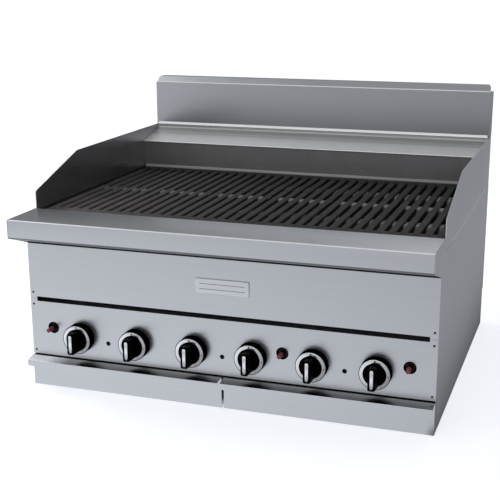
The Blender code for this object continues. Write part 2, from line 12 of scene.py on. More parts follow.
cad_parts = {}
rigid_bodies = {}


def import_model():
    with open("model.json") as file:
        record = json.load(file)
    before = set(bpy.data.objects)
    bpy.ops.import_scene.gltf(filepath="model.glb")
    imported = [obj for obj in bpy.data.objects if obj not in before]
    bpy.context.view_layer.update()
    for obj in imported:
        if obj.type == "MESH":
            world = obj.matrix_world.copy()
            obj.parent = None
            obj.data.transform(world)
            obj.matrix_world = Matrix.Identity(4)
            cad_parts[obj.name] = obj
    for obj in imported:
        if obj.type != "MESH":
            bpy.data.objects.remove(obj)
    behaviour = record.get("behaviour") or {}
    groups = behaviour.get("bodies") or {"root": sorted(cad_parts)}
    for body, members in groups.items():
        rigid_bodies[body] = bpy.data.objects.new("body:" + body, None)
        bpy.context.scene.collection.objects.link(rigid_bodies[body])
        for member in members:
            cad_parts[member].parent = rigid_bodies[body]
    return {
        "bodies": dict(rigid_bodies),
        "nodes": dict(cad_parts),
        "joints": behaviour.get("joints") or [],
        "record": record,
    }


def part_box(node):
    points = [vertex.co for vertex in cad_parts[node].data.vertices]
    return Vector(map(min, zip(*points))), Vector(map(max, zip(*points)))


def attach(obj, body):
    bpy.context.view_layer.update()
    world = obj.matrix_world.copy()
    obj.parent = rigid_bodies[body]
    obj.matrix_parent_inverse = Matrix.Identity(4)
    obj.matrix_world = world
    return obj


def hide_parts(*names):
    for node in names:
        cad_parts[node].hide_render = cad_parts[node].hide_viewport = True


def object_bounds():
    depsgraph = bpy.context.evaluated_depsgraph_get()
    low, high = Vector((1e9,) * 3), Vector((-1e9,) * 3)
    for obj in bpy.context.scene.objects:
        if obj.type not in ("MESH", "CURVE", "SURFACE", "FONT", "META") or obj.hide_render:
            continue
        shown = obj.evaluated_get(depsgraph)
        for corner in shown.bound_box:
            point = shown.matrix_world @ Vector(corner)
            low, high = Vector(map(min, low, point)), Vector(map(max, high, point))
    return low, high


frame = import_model()
cad_low, cad_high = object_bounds()
NODES = frame["nodes"]
JOINTS = {joint["name"]: joint for joint in frame["joints"]}
BODY_OF = {child.name: body for body, empty in frame["bodies"].items()
           for child in empty.children}
SLOT_OF = {part["node"]: part["material_slot"] for part in frame["record"]["subparts"]}
SIDES = ((-1, "left"), (1, "right"))

FRONT_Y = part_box("valve_panel")[0].y      # metres, the plane of the front panels
BAR_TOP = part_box("grate_1")[1].z          # metres
KNOB_AXES = [JOINTS["knob_%d_turn" % i]["pos_m"] for i in range(1, 7)]
KNOB_Z = KNOB_AXES[0][2]                  # metres


class Box:
    """The bounds and centre of a node, in mm."""

    def __init__(self, node):
        low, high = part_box(node)
        self.left, self.right = low.x * 1000, high.x * 1000
        self.front, self.back = (low.y - FRONT_Y) * 1000, (high.y - FRONT_Y) * 1000
        self.bottom, self.top = low.z * 1000, high.z * 1000
        self.x, self.z = (self.left + self.right) / 2, (self.bottom + self.top) / 2


def at(x, y, z):
    """World point, in metres, of a place in mm."""
    return Vector((x * 0.001, FRONT_Y + y * 0.001, z * 0.001))


# ----------------------------------------------------------------------
# shader node helpers
# ----------------------------------------------------------------------
class Graph:
    """Short calls for building one node tree."""

    def __init__(self, tree):
        self.tree = tree
        tree.nodes.clear()

    def add(self, kind, **props):
        node = self.tree.nodes.new(kind)
        for key, value in props.items():
            setattr(node, key, value)
        return node

    def wire(self, output, socket):
        self.tree.links.new(output, socket)

    def put(self, value, socket):
        """Links a socket, or writes a plain value or an RGB colour."""
        if isinstance(value, bpy.types.NodeSocket):
            self.wire(value, socket)
        elif socket.type == "RGBA" and len(value) == 3:
            socket.default_value = (*value, 1.0)
        else:
            socket.default_value = value

    def coords(self, scale=(1, 1, 1), rotate=(0, 0, 0)):
        source = self.add("ShaderNodeTexCoord")
        mapping = self.add("ShaderNodeMapping")
        mapping.inputs["Scale"].default_value = scale
        mapping.inputs["Rotation"].default_value = rotate
        self.wire(source.outputs["Object"], mapping.inputs["Vector"])
        return mapping.outputs[0]

    def split(self, vector):
        node = self.add("ShaderNodeSeparateXYZ")
        self.wire(vector, node.inputs[0])
        return node.outputs

    def noise(self, vector, scale, detail=3.0, rough=0.55, distort=0.0):
        node = self.add("ShaderNodeTexNoise")
        self.wire(vector, node.inputs["Vector"])
        node.inputs["Scale"].default_value = scale
        node.inputs["Detail"].default_value = detail
        node.inputs["Roughness"].default_value = rough
        node.inputs["Distortion"].default_value = distort
        return node.outputs["Fac"]

    def remap(self, value, span, to=(0.0, 1.0)):
        """Maps the range span onto the range to, clamped at both ends."""
        node = self.add("ShaderNodeMapRange")
        node.clamp = True
        self.wire(value, node.inputs["Value"])
        for key, number in zip(("From Min", "From Max", "To Min", "To Max"), (*span, *to)):
            node.inputs[key].default_value = number
        return node.outputs["Result"]

    def math(self, operation, first, second):
        node = self.add("ShaderNodeMath", operation=operation)
        self.put(first, node.inputs[0])
        self.put(second, node.inputs[1])
        return node.outputs[0]

    def plus(self, first, second):
        return self.math("ADD", first, second)

    def minus(self, first, second):
        return self.math("SUBTRACT", first, second)

    def times(self, first, second):
        return self.math("MULTIPLY", first, second)

    def blend(self, first, second, amount):
        return self.plus(self.times(first, self.minus(1.0, amount)),
                         self.times(second, amount))

    def levels(self, value, stops):
        """Piecewise linear level through (position, level) stops."""
        level = self.plus(stops[0][1], 0.0)
        for (start, before), (end, after) in zip(stops, stops[1:]):
            level = self.plus(level, self.remap(value, (start, end), (0.0, after - before)))
        return level

    def mix(self, amount, first, second, blend="MIX"):
        node = self.add("ShaderNodeMix", data_type="RGBA", blend_type=blend)
        self.put(amount, node.inputs["Factor"])
        self.put(first, node.inputs[6])
        self.put(second, node.inputs[7])
        return node.outputs[2]

    def shade(self, colour, level):
        """The colour multiplied by a grey level."""
        grey = self.add("ShaderNodeCombineColor")
        for k in range(3):
            self.wire(level, grey.inputs[k])
        return self.mix(1.0, colour, grey.outputs[0], "MULTIPLY")

    def edges(self, width):
        """1 on sharp edges, 0 on flat faces, at the given width."""
        bent = self.add("ShaderNodeBevel", samples=4)
        bent.inputs["Radius"].default_value = width
        true = self.add("ShaderNodeNewGeometry")
        dot = self.add("ShaderNodeVectorMath", operation="DOT_PRODUCT")
        self.wire(bent.outputs[0], dot.inputs[0])
        self.wire(true.outputs["Normal"], dot.inputs[1])
        return self.remap(self.minus(1.0, dot.outputs["Value"]), span=(0.02, 0.25))

    def bump(self, height, strength, distance, below=None):
        node = self.add("ShaderNodeBump")
        node.inputs["Strength"].default_value = strength
        node.inputs["Distance"].default_value = distance
        self.wire(height, node.inputs["Height"])
        if below is not None:
            self.wire(below, node.inputs["Normal"])
        return node.outputs[0]


class Material(Graph):
    """A new material around one Principled shader."""

    def __init__(self, name):
        self.mat = bpy.data.materials.new(name)
        self.mat.use_nodes = True
        super().__init__(self.mat.node_tree)
        output = self.add("ShaderNodeOutputMaterial")
        self.bsdf = self.add("ShaderNodeBsdfPrincipled")
        self.wire(self.bsdf.outputs[0], output.inputs["Surface"])

    def set(self, **values):
        for key, value in values.items():
            self.put(value, self.bsdf.inputs[key.replace("_", " ")])


def tint(colour, factor):
    return tuple(min(1.0, value * factor) for value in colour)


def fade(axis, *stops, origin=0.0):
    """Levels along one axis: (metres from the origin, level) stops."""
    return axis, tuple((origin + place, level) for place, level in stops)


# ----------------------------------------------------------------------
# kinds of material
# ----------------------------------------------------------------------
LONG, FINE = 5.0, 1500.0     # noise scale along and across the brushed grain


def steel(name, colour, rough, grain="X", relief=1.0, stain=0.0, aniso=0.25, wear=0.35,
          metal=1.0, fades=()):
    """Brushed sheet: long fine grain, hand smudges, faint scratches, edges lightened by wear.
    metal is a number or a fade()."""
    g = Material(name)
    scale = tuple(LONG if axis == grain else FINE for axis in "XYZ")
    wide_scale = tuple(v * (0.22 if v == FINE else 0.8) for v in scale)
    fibre = g.noise(g.coords(scale), scale=1.0, detail=3.0, rough=0.62)
    wide = g.noise(g.coords(wide_scale), scale=1.0, detail=2.0, rough=0.5)
    smudge = g.noise(g.coords(), scale=4.3, detail=5.0, rough=0.6, distort=0.4)
    cloud = g.noise(g.coords(), scale=11.0, detail=4.0, rough=0.65, distort=0.8)
    # sparse handling scratches, turned off the grain
    turned_grain = g.coords(tuple(v * 0.55 for v in scale), rotate=(0.0, 0.32, 0.0))
    streak = g.noise(turned_grain, scale=1.0, detail=1.0, rough=0.4)
    scratch = g.remap(streak, span=(0.69, 0.74))
    edge = g.edges(width=0.0009)

    tone = g.remap(fibre, span=(0.3, 0.7), to=(0.965, 1.03))
    tone = g.times(tone, g.remap(wide, span=(0.3, 0.7), to=(0.988, 1.012)))
    tone = g.times(tone, g.remap(smudge, span=(0.3, 0.7), to=(0.988, 1.010)))
    col = g.shade(colour, tone)
    if stain:
        blot = g.remap(cloud, span=(0.45, 0.75), to=(0.0, stain))
        brown = (0.62, 0.55, 0.47)
        col = g.mix(blot, col, tuple(a * b for a, b in zip(colour, brown)))
    col = g.mix(g.times(edge, wear), col, tint(colour, factor=1.35))
    for axis, stops in fades:
        col = g.shade(col, g.levels(g.split(g.coords())[axis], stops))

    dull = g.remap(fibre, span=(0.3, 0.7), to=(rough - 0.035, rough + 0.045))
    dull = g.plus(dull, g.remap(smudge, span=(0.35, 0.7), to=(-0.02, 0.025)))
    dull = g.plus(dull, g.remap(cloud, span=(0.5, 0.8), to=(0.0, 0.02)))
    dull = g.plus(dull, g.times(scratch, 0.10))
    dull = g.minus(dull, g.times(edge, 0.06))
    normal = g.bump(fibre, strength=0.10 * relief, distance=0.00006)
    normal = g.bump(smudge, strength=0.03 * relief, distance=0.0012, below=normal)
    if isinstance(metal, tuple):
        axis, stops = metal
        metal = g.levels(g.split(g.coords())[axis], stops)
    g.set(Base_Color=col, Roughness=dull, Metallic=metal, Normal=normal, Anisotropic=aniso)
    tangent = g.add("ShaderNodeCombineXYZ")
    tangent.inputs["XYZ".index(grain)].default_value = 1.0
    g.wire(tangent.outputs[0], g.bsdf.inputs["Tangent"])
    return g.mat


def iron(name, dark, light, rough, metal, rear_shade=(), side_light=()):
    """Seasoned cast iron: sand-cast pimples, pits, brown and grey patches.
    rear_shade: (start, end, share) of painted shade darkening toward the rear, metres behind
    the front panels.
    side_light: (x, level) stops of painted light, the iron lighter toward the left and darker
    toward the right."""
    g = Material(name)
    place = g.coords()
    patch = g.noise(place, scale=13.0, detail=4.0, rough=0.6, distort=0.5)
    tone = g.noise(place, scale=46.0, detail=3.0, rough=0.6)
    grit = g.noise(place, scale=620.0, detail=3.0, rough=0.6)
    pebble = g.noise(place, scale=240.0, detail=2.0, rough=0.5)
    cell = g.add("ShaderNodeTexVoronoi")
    g.wire(place, cell.inputs["Vector"])
    cell.inputs["Scale"].default_value = 330.0
    pit = g.remap(cell.outputs["Distance"], span=(0.0, 0.35))
    edge = g.edges(width=0.0012)

    warm = (1.28, 1.08, 0.96)
    col = g.mix(g.remap(patch, span=(0.32, 0.68)), dark, light)
    col = g.mix(g.remap(tone, span=(0.4, 0.75), to=(0.0, 0.55)), col,
                tuple(a * b for a, b in zip(light, warm)))
    col = g.mix(g.remap(grit, span=(0.52, 0.72), to=(0.0, 0.55)), col, tint(light, factor=2.0))
    col = g.mix(g.times(edge, 0.45), col, tint(light, factor=2.2))
    # painted shade: the iron darker toward the rear
    if rear_shade:
        y = g.split(place)["Y"]
        for start, end, share in rear_shade:
            amount = g.remap(y, span=(FRONT_Y + start, FRONT_Y + end))
            col = g.mix(amount, col, g.mix(1.0, col, (share, share, share), "MULTIPLY"))
    # painted light: lighter toward the left, darker toward the right
    if side_light:
        col = g.shade(col, g.levels(g.split(place)["X"], side_light))

    dull = g.remap(patch, span=(0.3, 0.7), to=(rough - 0.10, rough + 0.10))
    dull = g.plus(dull, g.remap(grit, span=(0.3, 0.7), to=(-0.06, 0.08)))
    normal = g.bump(pebble, strength=0.45, distance=0.0005)
    normal = g.bump(grit, strength=0.35, distance=0.00025, below=normal)
    normal = g.bump(pit, strength=0.12, distance=0.0002, below=normal)
    g.set(Base_Color=col, Roughness=dull, Metallic=metal, Normal=normal)
    return g.mat


def plastic(name, colour, rough, grain=0.25, dusty=1.6, coat=0.0, shine=0.5, root_shade=None):
    """Moulded plastic: fine orange peel, patches of dust, rubbed edges.
    root_shade: (lit y, shaded y) in metres, painted shade darkening toward the piece's root."""
    g = Material(name)
    place = g.coords()
    peel = g.noise(place, scale=900.0, detail=2.0, rough=0.5)
    dust = g.noise(place, scale=60.0, detail=4.0, rough=0.65, distort=0.6)
    edge = g.edges(width=0.0007)
    col = g.mix(g.remap(dust, span=(0.35, 0.75), to=(0.0, 0.35)), colour, tint(colour, dusty))
    col = g.mix(g.times(edge, 0.35), col, tint(colour, factor=1.9))
    dull = g.remap(dust, span=(0.3, 0.7), to=(rough - 0.05, rough + 0.08))
    dull = g.plus(dull, g.remap(peel, span=(0.3, 0.7), to=(-0.02, 0.03)))
    # painted shade: darker toward the root
    if root_shade is not None:
        col = g.mix(g.remap(g.split(place)["Y"], span=root_shade), col, tint(colour, factor=0.03))
    g.set(Base_Color=col, Roughness=dull, Metallic=0.0,
          Normal=g.bump(peel, strength=grain, distance=0.00006), Specular_IOR_Level=shine)
    if coat:
        g.set(Coat_Weight=coat, Coat_Roughness=0.12)
    return g.mat


def spun(name, colour, rough):
    """Metal turned on a lathe: rings round the piece's own Y axis."""
    g = Material(name)
    place = g.add("ShaderNodeTexCoord").outputs["Object"]
    axes = g.split(place)
    flat = g.add("ShaderNodeCombineXYZ")
    g.wire(axes["X"], flat.inputs["X"])
    g.wire(axes["Z"], flat.inputs["Y"])
    length = g.add("ShaderNodeVectorMath", operation="LENGTH")
    g.wire(flat.outputs[0], length.inputs[0])
    radius = g.add("ShaderNodeCombineXYZ")
    g.wire(length.outputs["Value"], radius.inputs["X"])
    rings = g.noise(radius.outputs[0], scale=5200.0, detail=3.0, rough=0.6)
    smudge = g.noise(place, scale=70.0, detail=3.0, rough=0.6)
    edge = g.edges(width=0.0005)
    col = g.mix(g.remap(rings, span=(0.3, 0.7)), tint(colour, factor=0.94),
                tint(colour, factor=1.04))
    # painted highlight: brightest up and to the left, shaded down and to the right
    lean = g.plus(g.times(axes["X"], -0.75), g.times(axes["Z"], 0.66))
    col = g.shade(col, g.remap(lean, span=(-0.026, 0.026), to=(0.42, 1.05)))
    col = g.mix(g.times(edge, 0.4), col, tint(colour, factor=1.2))
    dull = g.remap(rings, span=(0.3, 0.7), to=(rough - 0.03, rough + 0.04))
    dull = g.plus(dull, g.remap(smudge, span=(0.35, 0.7), to=(-0.02, 0.05)))
    g.set(Base_Color=col, Roughness=dull, Metallic=1.0,
          Normal=g.bump(rings, strength=0.10, distance=0.00004))
    return g.mat


# ----------------------------------------------------------------------
# the materials
# ----------------------------------------------------------------------
STEEL = (0.585, 0.60, 0.625)
M_FRONT = steel("stainless_front", STEEL, rough=0.30)
M_RAIL = steel("stainless_rail", STEEL, rough=0.30)
# painted reflection: the rail top darker at the left, lighter toward the right
M_RAILTOP = steel("stainless_rail_top", STEEL, rough=0.30,
                  fades=[fade("X", (-0.45, 0.92), (-0.10, 1.02), (0.20, 1.22), (0.45, 1.44))])
M_SIDE = steel("stainless_side", STEEL, rough=0.34, grain="Y")
# inner faces of the side splashes: darker steel, lighter toward the rear, with light stains
M_INNER_DARK = steel("stainless_sooted", (0.37, 0.37, 0.383), rough=0.30, grain="Y", relief=0.3,
                 stain=0.15, wear=0.2,
                 fades=[fade("Y", (0.05, 0.95), (0.50, 0.98), (0.60, 1.25), (0.72, 2.0),
                             origin=FRONT_Y)])
M_BACK = steel("stainless_back", STEEL, rough=0.32)
# painted reflection and highlight: the back splash lighter at the left, darker toward the
# bottom, with a bright band at the top bend
M_SPLASH = steel("stainless_splash", STEEL, rough=0.32,
                 fades=[fade("X", (-0.45, 0.80), (0.0, 0.67), (0.45, 0.60)),
                        fade("Z", (0.495, 0.86), (0.58, 1.06), (0.604, 1.06), (0.610, 1.15))])
# painted shadow and reflection: the shelf lighter overall, banded darker toward the rear with
# a dark line at the crease; the stains are real
M_SHELF = steel("stainless_shelf", (0.76, 0.76, 0.755), rough=0.36, stain=0.08, metal=0.72,
                fades=[fade("X", (-0.45, 1.15), (-0.1, 1.21), (0.45, 1.16)),
                       fade("Y", (0.630, 1.0), (0.655, 0.93), (0.676, 0.80), (0.684, 0.60),
                            (0.690, 0.72), (0.700, 0.50), (0.712, 0.46), origin=FRONT_Y)])
# painted highlight: near-white and barely metal, so the rolled seam reads as a light line
M_SEAM_HIGHLIGHT = steel("seam_steel", (0.95, 0.955, 0.965), rough=0.35, grain="Y", metal=0.1)
M_BEND = steel("bend_highlight_steel", (0.90, 0.91, 0.93), rough=0.30, metal=0.35)
# painted shade: dark steel for the rail's lower bend
M_UNDERBEND_SHADE = steel("rail_underbend_steel", (0.19, 0.195, 0.205), rough=0.35)
# painted highlight: near-white, barely metal hem
M_HEM_HIGHLIGHT = steel("hem_steel", (0.97, 0.975, 0.99), rough=0.25, metal=0.10)
M_TRAY = steel("stainless_tray", STEEL, rough=0.22, aniso=0.1)
# painted reflection: the lip's far-left end near-white and barely metal, the rest darkened
M_LIP = steel("stainless_lip", (0.95, 0.96, 0.98), rough=0.18, aniso=0.1,
              metal=fade("X", (-0.45, 0.10), (-0.405, 0.20), (-0.375, 1.0)),
              fades=[fade("X", (-0.45, 1.0), (-0.405, 1.05), (-0.355, 0.30), (-0.20, 0.26),
                          (0.20, 0.255), (0.449, 0.285))])
M_DARK = steel("firebox_steel", (0.265, 0.265, 0.27), rough=0.42, stain=0.35, wear=0.2,
               fades=[fade("X", (-0.45, 1.32), (-0.1, 1.08), (0.45, 1.08))])
M_FRAME = steel("frame_steel", (0.36, 0.365, 0.375), rough=0.45, grain="Y", relief=1.6,
                stain=0.2)
# painted light: pale and non-metal so the sloped rails seen between the bars read bright;
# darker from 0.60 m back
M_GRATEFRAME = steel("grate_frame_steel", (0.66, 0.66, 0.665), rough=0.6, relief=1.5,
                     stain=0.12, metal=0.0,
                     fades=[fade("Y", (0.58, 1.0), (0.60, 0.31), origin=FRONT_Y)])
# painted shade: the upstand dark up to just above the bar tops, only its top edge light
M_UPSTAND = steel("grate_upstand_steel", (0.42, 0.42, 0.42), rough=0.6, relief=1.2,
                  stain=0.08, metal=0.0,
                  fades=[fade("Z", (0.0005, 0.10), (0.0027, 1.0), origin=BAR_TOP)])
M_PIPE = steel("gas_pipe_steel", (0.30, 0.30, 0.31), rough=0.5, relief=2.0, stain=0.3)
M_BRASS = steel("valve_brass", (0.66, 0.49, 0.22), rough=0.33, grain="Z", relief=0.8,
                stain=0.12)
# painted shade darkens the grate iron toward the rear; painted light makes it lighter toward
# the left
M_IRON = iron("cast_iron_grate", dark=(0.026, 0.0245, 0.0252), light=(0.050, 0.0455, 0.0455),
              rough=0.62, metal=0.30, rear_shade=((0.10, 0.50, 0.36), (0.555, 0.592, 0.12)),
              side_light=((-0.44, 2.8), (-0.25, 1.45), (0.0, 0.58), (0.44, 0.50)))
M_RIB = iron("cast_iron_rib", dark=(0.13, 0.13, 0.132), light=(0.19, 0.185, 0.185),
             rough=0.5, metal=0.25)
M_BURNER = iron("cast_iron_burner", dark=(0.045, 0.040, 0.037), light=(0.085, 0.072, 0.062),
                rough=0.75, metal=0.2)
M_RADIANT = iron("cast_iron_radiant", dark=(0.040, 0.036, 0.034),
                 light=(0.075, 0.062, 0.052), rough=0.72, metal=0.25)
M_BLACK = plastic("knob_black", (0.0010, 0.0010, 0.0011), rough=0.38, shine=0.012)
M_SKIRT = plastic("skirt_black", (0.0004, 0.0004, 0.0005), rough=0.55, grain=0.1, shine=0.0)
M_MATT = plastic("igniter_black", (0.006, 0.006, 0.007), rough=0.60, grain=0.4, shine=0.2)
# painted shade: the red caps darken toward the panel
M_RED = plastic("button_red", (0.27, 0.040, 0.070), rough=0.38, grain=0.2, dusty=1.25,
                coat=0.1, shine=0.35, root_shade=(FRONT_Y - 0.013, FRONT_Y - 0.003))
M_RING = spun("chrome_ring", (0.80, 0.81, 0.83), rough=0.20)
# painted highlights: the pointer bright at the top and middle, greyer between and toward the
# bottom
M_INLAY = steel("pointer_silver", (0.92, 0.93, 0.94), rough=0.20, grain="Z", relief=0.5,
                aniso=0.1,
                fades=[fade("Z", (-0.023, 0.30), (-0.013, 0.58), (-0.002, 1.0), (0.003, 0.92),
                            (0.011, 0.66), (0.015, 0.80), (0.019, 1.08), origin=KNOB_Z)])
M_MARK = plastic("dial_marks", (0.02, 0.02, 0.022), rough=0.5, grain=0.3, shine=0.2)
# painted shade for the walls of the punched holes
M_HOLE_SHADE = steel("punched_edge", (0.05, 0.05, 0.053), rough=0.5, grain="Y", wear=0.1)
M_SCREW = steel("screw_blackened", (0.055, 0.055, 0.06), rough=0.42, relief=0.6, wear=0.8)
M_BADGE = steel("badge_metal", (0.675, 0.685, 0.71), rough=0.30, relief=0.7)
M_ENGRAVE = plastic("badge_fill", (0.05, 0.055, 0.065), rough=0.5, grain=0.3)


# ----------------------------------------------------------------------
# mesh helpers, all in mm through at()
# ----------------------------------------------------------------------
def reshade(mesh, angle):
    """Smooth shading, sharp past the angle in degrees."""
    mesh.shade_smooth()
    mesh.set_sharp_from_angle(angle=math.radians(angle))


def build(name, verts, faces, material, smooth=35.0):
    mesh = bpy.data.meshes.new(name)
    mesh.from_pydata([tuple(v) for v in verts], [], faces)
    bm = bmesh.new()
    bm.from_mesh(mesh)
    bmesh.ops.remove_doubles(bm, verts=bm.verts, dist=1e-6)
    bmesh.ops.recalc_face_normals(bm, faces=bm.faces)
    bm.to_mesh(mesh)
    bm.free()
    ob = bpy.data.objects.new(name, mesh)
    bpy.context.scene.collection.objects.link(ob)
    if material is not None:
        mesh.materials.append(material)
    if smooth is not None:
        reshade(mesh, smooth)
    return ob


def loft(rings):
    """Vertices and faces joining rings of points, capped at both ends."""
    verts, faces, count = [], [], len(rings[0])
    for ring in rings:
        verts += ring
    last = (len(rings) - 1) * count
    for start in range(0, last, count):
        after = start + count
        for k in range(count):
            j = (k + 1) % count
            faces.append((start + k, start + j, after + j, after + k))
    faces.append(tuple(range(count)))
    faces.append(tuple(range(last, last + count)))
    return verts, faces


def fillet(path, radii, steps=6):
    """Path of (y, z, extra...) with each inner corner rounded to its radius."""
    out = [tuple(path[0])]
    for i in range(1, len(path) - 1):
        corner, before, after = (Vector(path[k][:2]) for k in (i, i - 1, i + 1))
        back, ahead = before - corner, after - corner
        angle = back.angle(ahead)
        if angle > math.radians(179):      # straight on: nothing to round
            out.append(tuple(path[i]))
            continue
        reach = min(radii[i - 1] / math.tan(angle / 2), 0.48 * back.length,
                    0.48 * ahead.length)
        radius = reach * math.tan(angle / 2)
        middle = (back.normalized() + ahead.normalized()).normalized()
        centre = corner + middle * (radius / math.sin(angle / 2))
        start = corner + back.normalized() * reach - centre
        end = corner + ahead.normalized() * reach - centre
        turn = start.angle_signed(end)
        for k in range(steps + 1):
            spoke = start.copy()
            spoke.rotate(Matrix.Rotation(-turn * (k / steps), 2))
            out.append((centre.x + spoke.x, centre.y + spoke.y, *path[i][2:]))
    out.append(tuple(path[-1]))
    return out


def offset(path, distance):
    """Path moved to its right, mitred."""
    out = []
    for i, row in enumerate(path):
        point = Vector(row[:2])
        ways = []
        if i > 0:
            ways.append((point - Vector(path[i - 1][:2])).normalized())
        if i < len(path) - 1:
            ways.append((Vector(path[i + 1][:2]) - point).normalized())
        normals = [Vector((way.y, -way.x)) for way in ways]
        if len(normals) == 1:
            moved = point + normals[0] * distance
        else:
            mitre = (normals[0] + normals[1]).normalized()
            moved = point + mitre * (distance / max(0.25, mitre.dot(normals[0])))
        out.append((moved.x, moved.y))
    return out


def sheet(name, path, thickness, material, edge=0.25):
    """Bent sheet.  path = (y, z, left, right); the metal lies to the path's right."""
    rings = []
    for (y, z, left, right), (far_y, far_z) in zip(path, offset(path, thickness)):
        rings.append([at(left, y, z), at(right, y, z),
                      at(right, far_y, far_z), at(left, far_y, far_z)])
    ob = build(name, *loft(rings), material)
    if edge:
        bevel(ob, edge)
    return ob


def bevel(ob, width, segments=2, angle=40.0):
    modifier = ob.modifiers.new("edges", "BEVEL")
    modifier.width = width * 0.001
    modifier.segments = segments
    modifier.limit_method = "ANGLE"
    modifier.angle_limit = math.radians(angle)
    modifier.harden_normals = True
    modifier.use_clamp_overlap = True
    return modifier


def bake(ob):
    """Applies the object's modifiers."""
    bpy.context.view_layer.update()
    depsgraph = bpy.context.evaluated_depsgraph_get()
    mesh = bpy.data.meshes.new_from_object(ob.evaluated_get(depsgraph))
    old = ob.data
    ob.modifiers.clear()
    ob.data = mesh
    bpy.data.meshes.remove(old)


def boolean(ob, others, operation="UNION"):
    """Joins or cuts with the other objects, which are used up."""
    for other in others:
        modifier = ob.modifiers.new("b", "BOOLEAN")
        modifier.operation = operation
        modifier.solver = "EXACT"
        modifier.object = other
        bake(ob)
        mesh = other.data
        bpy.data.objects.remove(other, do_unlink=True)
        bpy.data.meshes.remove(mesh)
    return ob


def block(name, left, right, front, back, bottom, top, material=None):
    verts = [at(x, y, z) for x in (left, right) for y in (front, back) for z in (bottom, top)]
    faces = [(0, 1, 3, 2), (4, 6, 7, 5), (0, 4, 5, 1), (2, 3, 7, 6), (0, 2, 6, 4),
             (1, 5, 7, 3)]
    return build(name, verts, faces, material, None)


def extrude_x(name, outline, left, right, material, smooth=35.0):
    rings = [[at(x, y, z) for y, z in outline] for x in (left, right)]
    return build(name, *loft(rings), material, smooth)


def turned(name, profile, steps, x, z, material, smooth=35.0, local=False):
    """Closed (radius, y) profile turned round the Y axis through (x, z).
    local: the mesh is written round its own axis and the object moved there."""
    verts, faces, rows = [], [], []
    for radius, y in profile:
        count = steps if radius > 0 else 1
        rows.append((len(verts), count))
        for k in range(count):
            angle = 2 * math.pi * k / steps
            across, up = radius * math.cos(angle), radius * math.sin(angle)
            if local:
                verts.append(Vector((across, y, up)) * 0.001)
            else:
                verts.append(at(x + across, y, z + up))
    for i, (start, count) in enumerate(rows):
        after, after_count = rows[(i + 1) % len(rows)]
        if count == 1 and after_count == 1:
            continue
        for k in range(steps):
            j = (k + 1) % steps
            if count == 1:
                faces.append((start, after + k, after + j))
            elif after_count == 1:
                faces.append((start + k, start + j, after))
            else:
                faces.append((start + k, start + j, after + j, after + k))
    ob = build(name, verts, faces, material, smooth)
    if local:
        ob.location = at(x, 0, z)
    return ob


def arc(centre_radius, centre_y, radius, start, end, steps):
    """Points of an arc in the (radius, y) plane, from start to end degrees."""
    angles = [math.radians(start + (end - start) * k / steps) for k in range(steps + 1)]
    return [(centre_radius + radius * math.cos(angle), centre_y + radius * math.sin(angle))
            for angle in angles]


def round_rect(left, right, low, high, radius, steps=6):
    points = []
    for x, z, start in ((right - radius, high - radius, 0), (left + radius, high - radius, 90),
                        (left + radius, low + radius, 180),
                        (right - radius, low + radius, 270)):
        for k in range(steps + 1):
            angle = math.radians(start + 90.0 * k / steps)
            points.append((x + radius * math.cos(angle), z + radius * math.sin(angle)))
    return points


def give(ob, body, slot, *nodes):
    """Tells the frame what the object rides on and what it replaces; the slot is not used."""
    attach(ob, body)
    if nodes:
        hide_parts(*nodes)


def paint(ob, material, wanted):
    """Adds a material to the faces where wanted(x, y, z, normal), in mm, holds."""
    ob.data.materials.append(material)
    slot = len(ob.data.materials) - 1
    for poly in ob.data.polygons:
        x, y, z = poly.center
        if wanted(x * 1000, (y - FRONT_Y) * 1000, z * 1000, poly.normal):
            poly.material_index = slot


def paint_band(ob, material, y_span, z_span, facing):
    """Paints the faces inside both spans whose normal passes the facing test."""
    paint(ob, material, lambda x, y, z, normal: y_span[0] < y < y_span[1]
          and z_span[0] < z < z_span[1] and facing(normal))


def clean_copy(node, material):
    """A copy of a CAD node's surface, cleaned of its triangles."""
    mesh = bpy.data.meshes.new(node + "_skin")
    bm = bmesh.new()
    bm.from_mesh(NODES[node].data)
    bmesh.ops.remove_doubles(bm, verts=bm.verts, dist=2e-6)
    bmesh.ops.dissolve_limit(bm, angle_limit=math.radians(0.4), verts=bm.verts, edges=bm.edges)
    bmesh.ops.recalc_face_normals(bm, faces=bm.faces)
    bm.to_mesh(mesh)
    bm.free()
    for key in ("custom_normal", "sharp_edge", "sharp_face", "material_index"):
        if key in mesh.attributes:
            mesh.attributes.remove(mesh.attributes[key])
    mesh.materials.clear()
    mesh.materials.append(material)
    ob = bpy.data.objects.new(node + "_skin", mesh)
    bpy.context.scene.collection.objects.link(ob)
    reshade(mesh, 35)
    return ob


def reskin(node, material, edge=0.3, segments=2):
    """Replaces a CAD node by a clean copy with rolled edges."""
    ob = clean_copy(node, material)
    if edge:
        bevel(ob, edge, segments)
    give(ob, BODY_OF[node], SLOT_OF[node], node)
    return ob


# ----------------------------------------------------------------------
# casings and inner parts: clean copies of the CAD
# ----------------------------------------------------------------------
def side_casings():
    for _, word in SIDES:
        reskin(word + "_side_panel", M_SIDE, edge=0.35)
    for side, word in SIDES:
        splash = reskin(word + "_side_splash", M_SIDE, edge=0.55, segments=3)
        # inner faces painted darker
        paint(splash, M_INNER_DARK, lambda x, y, z, normal: normal.x * side < -0.5)


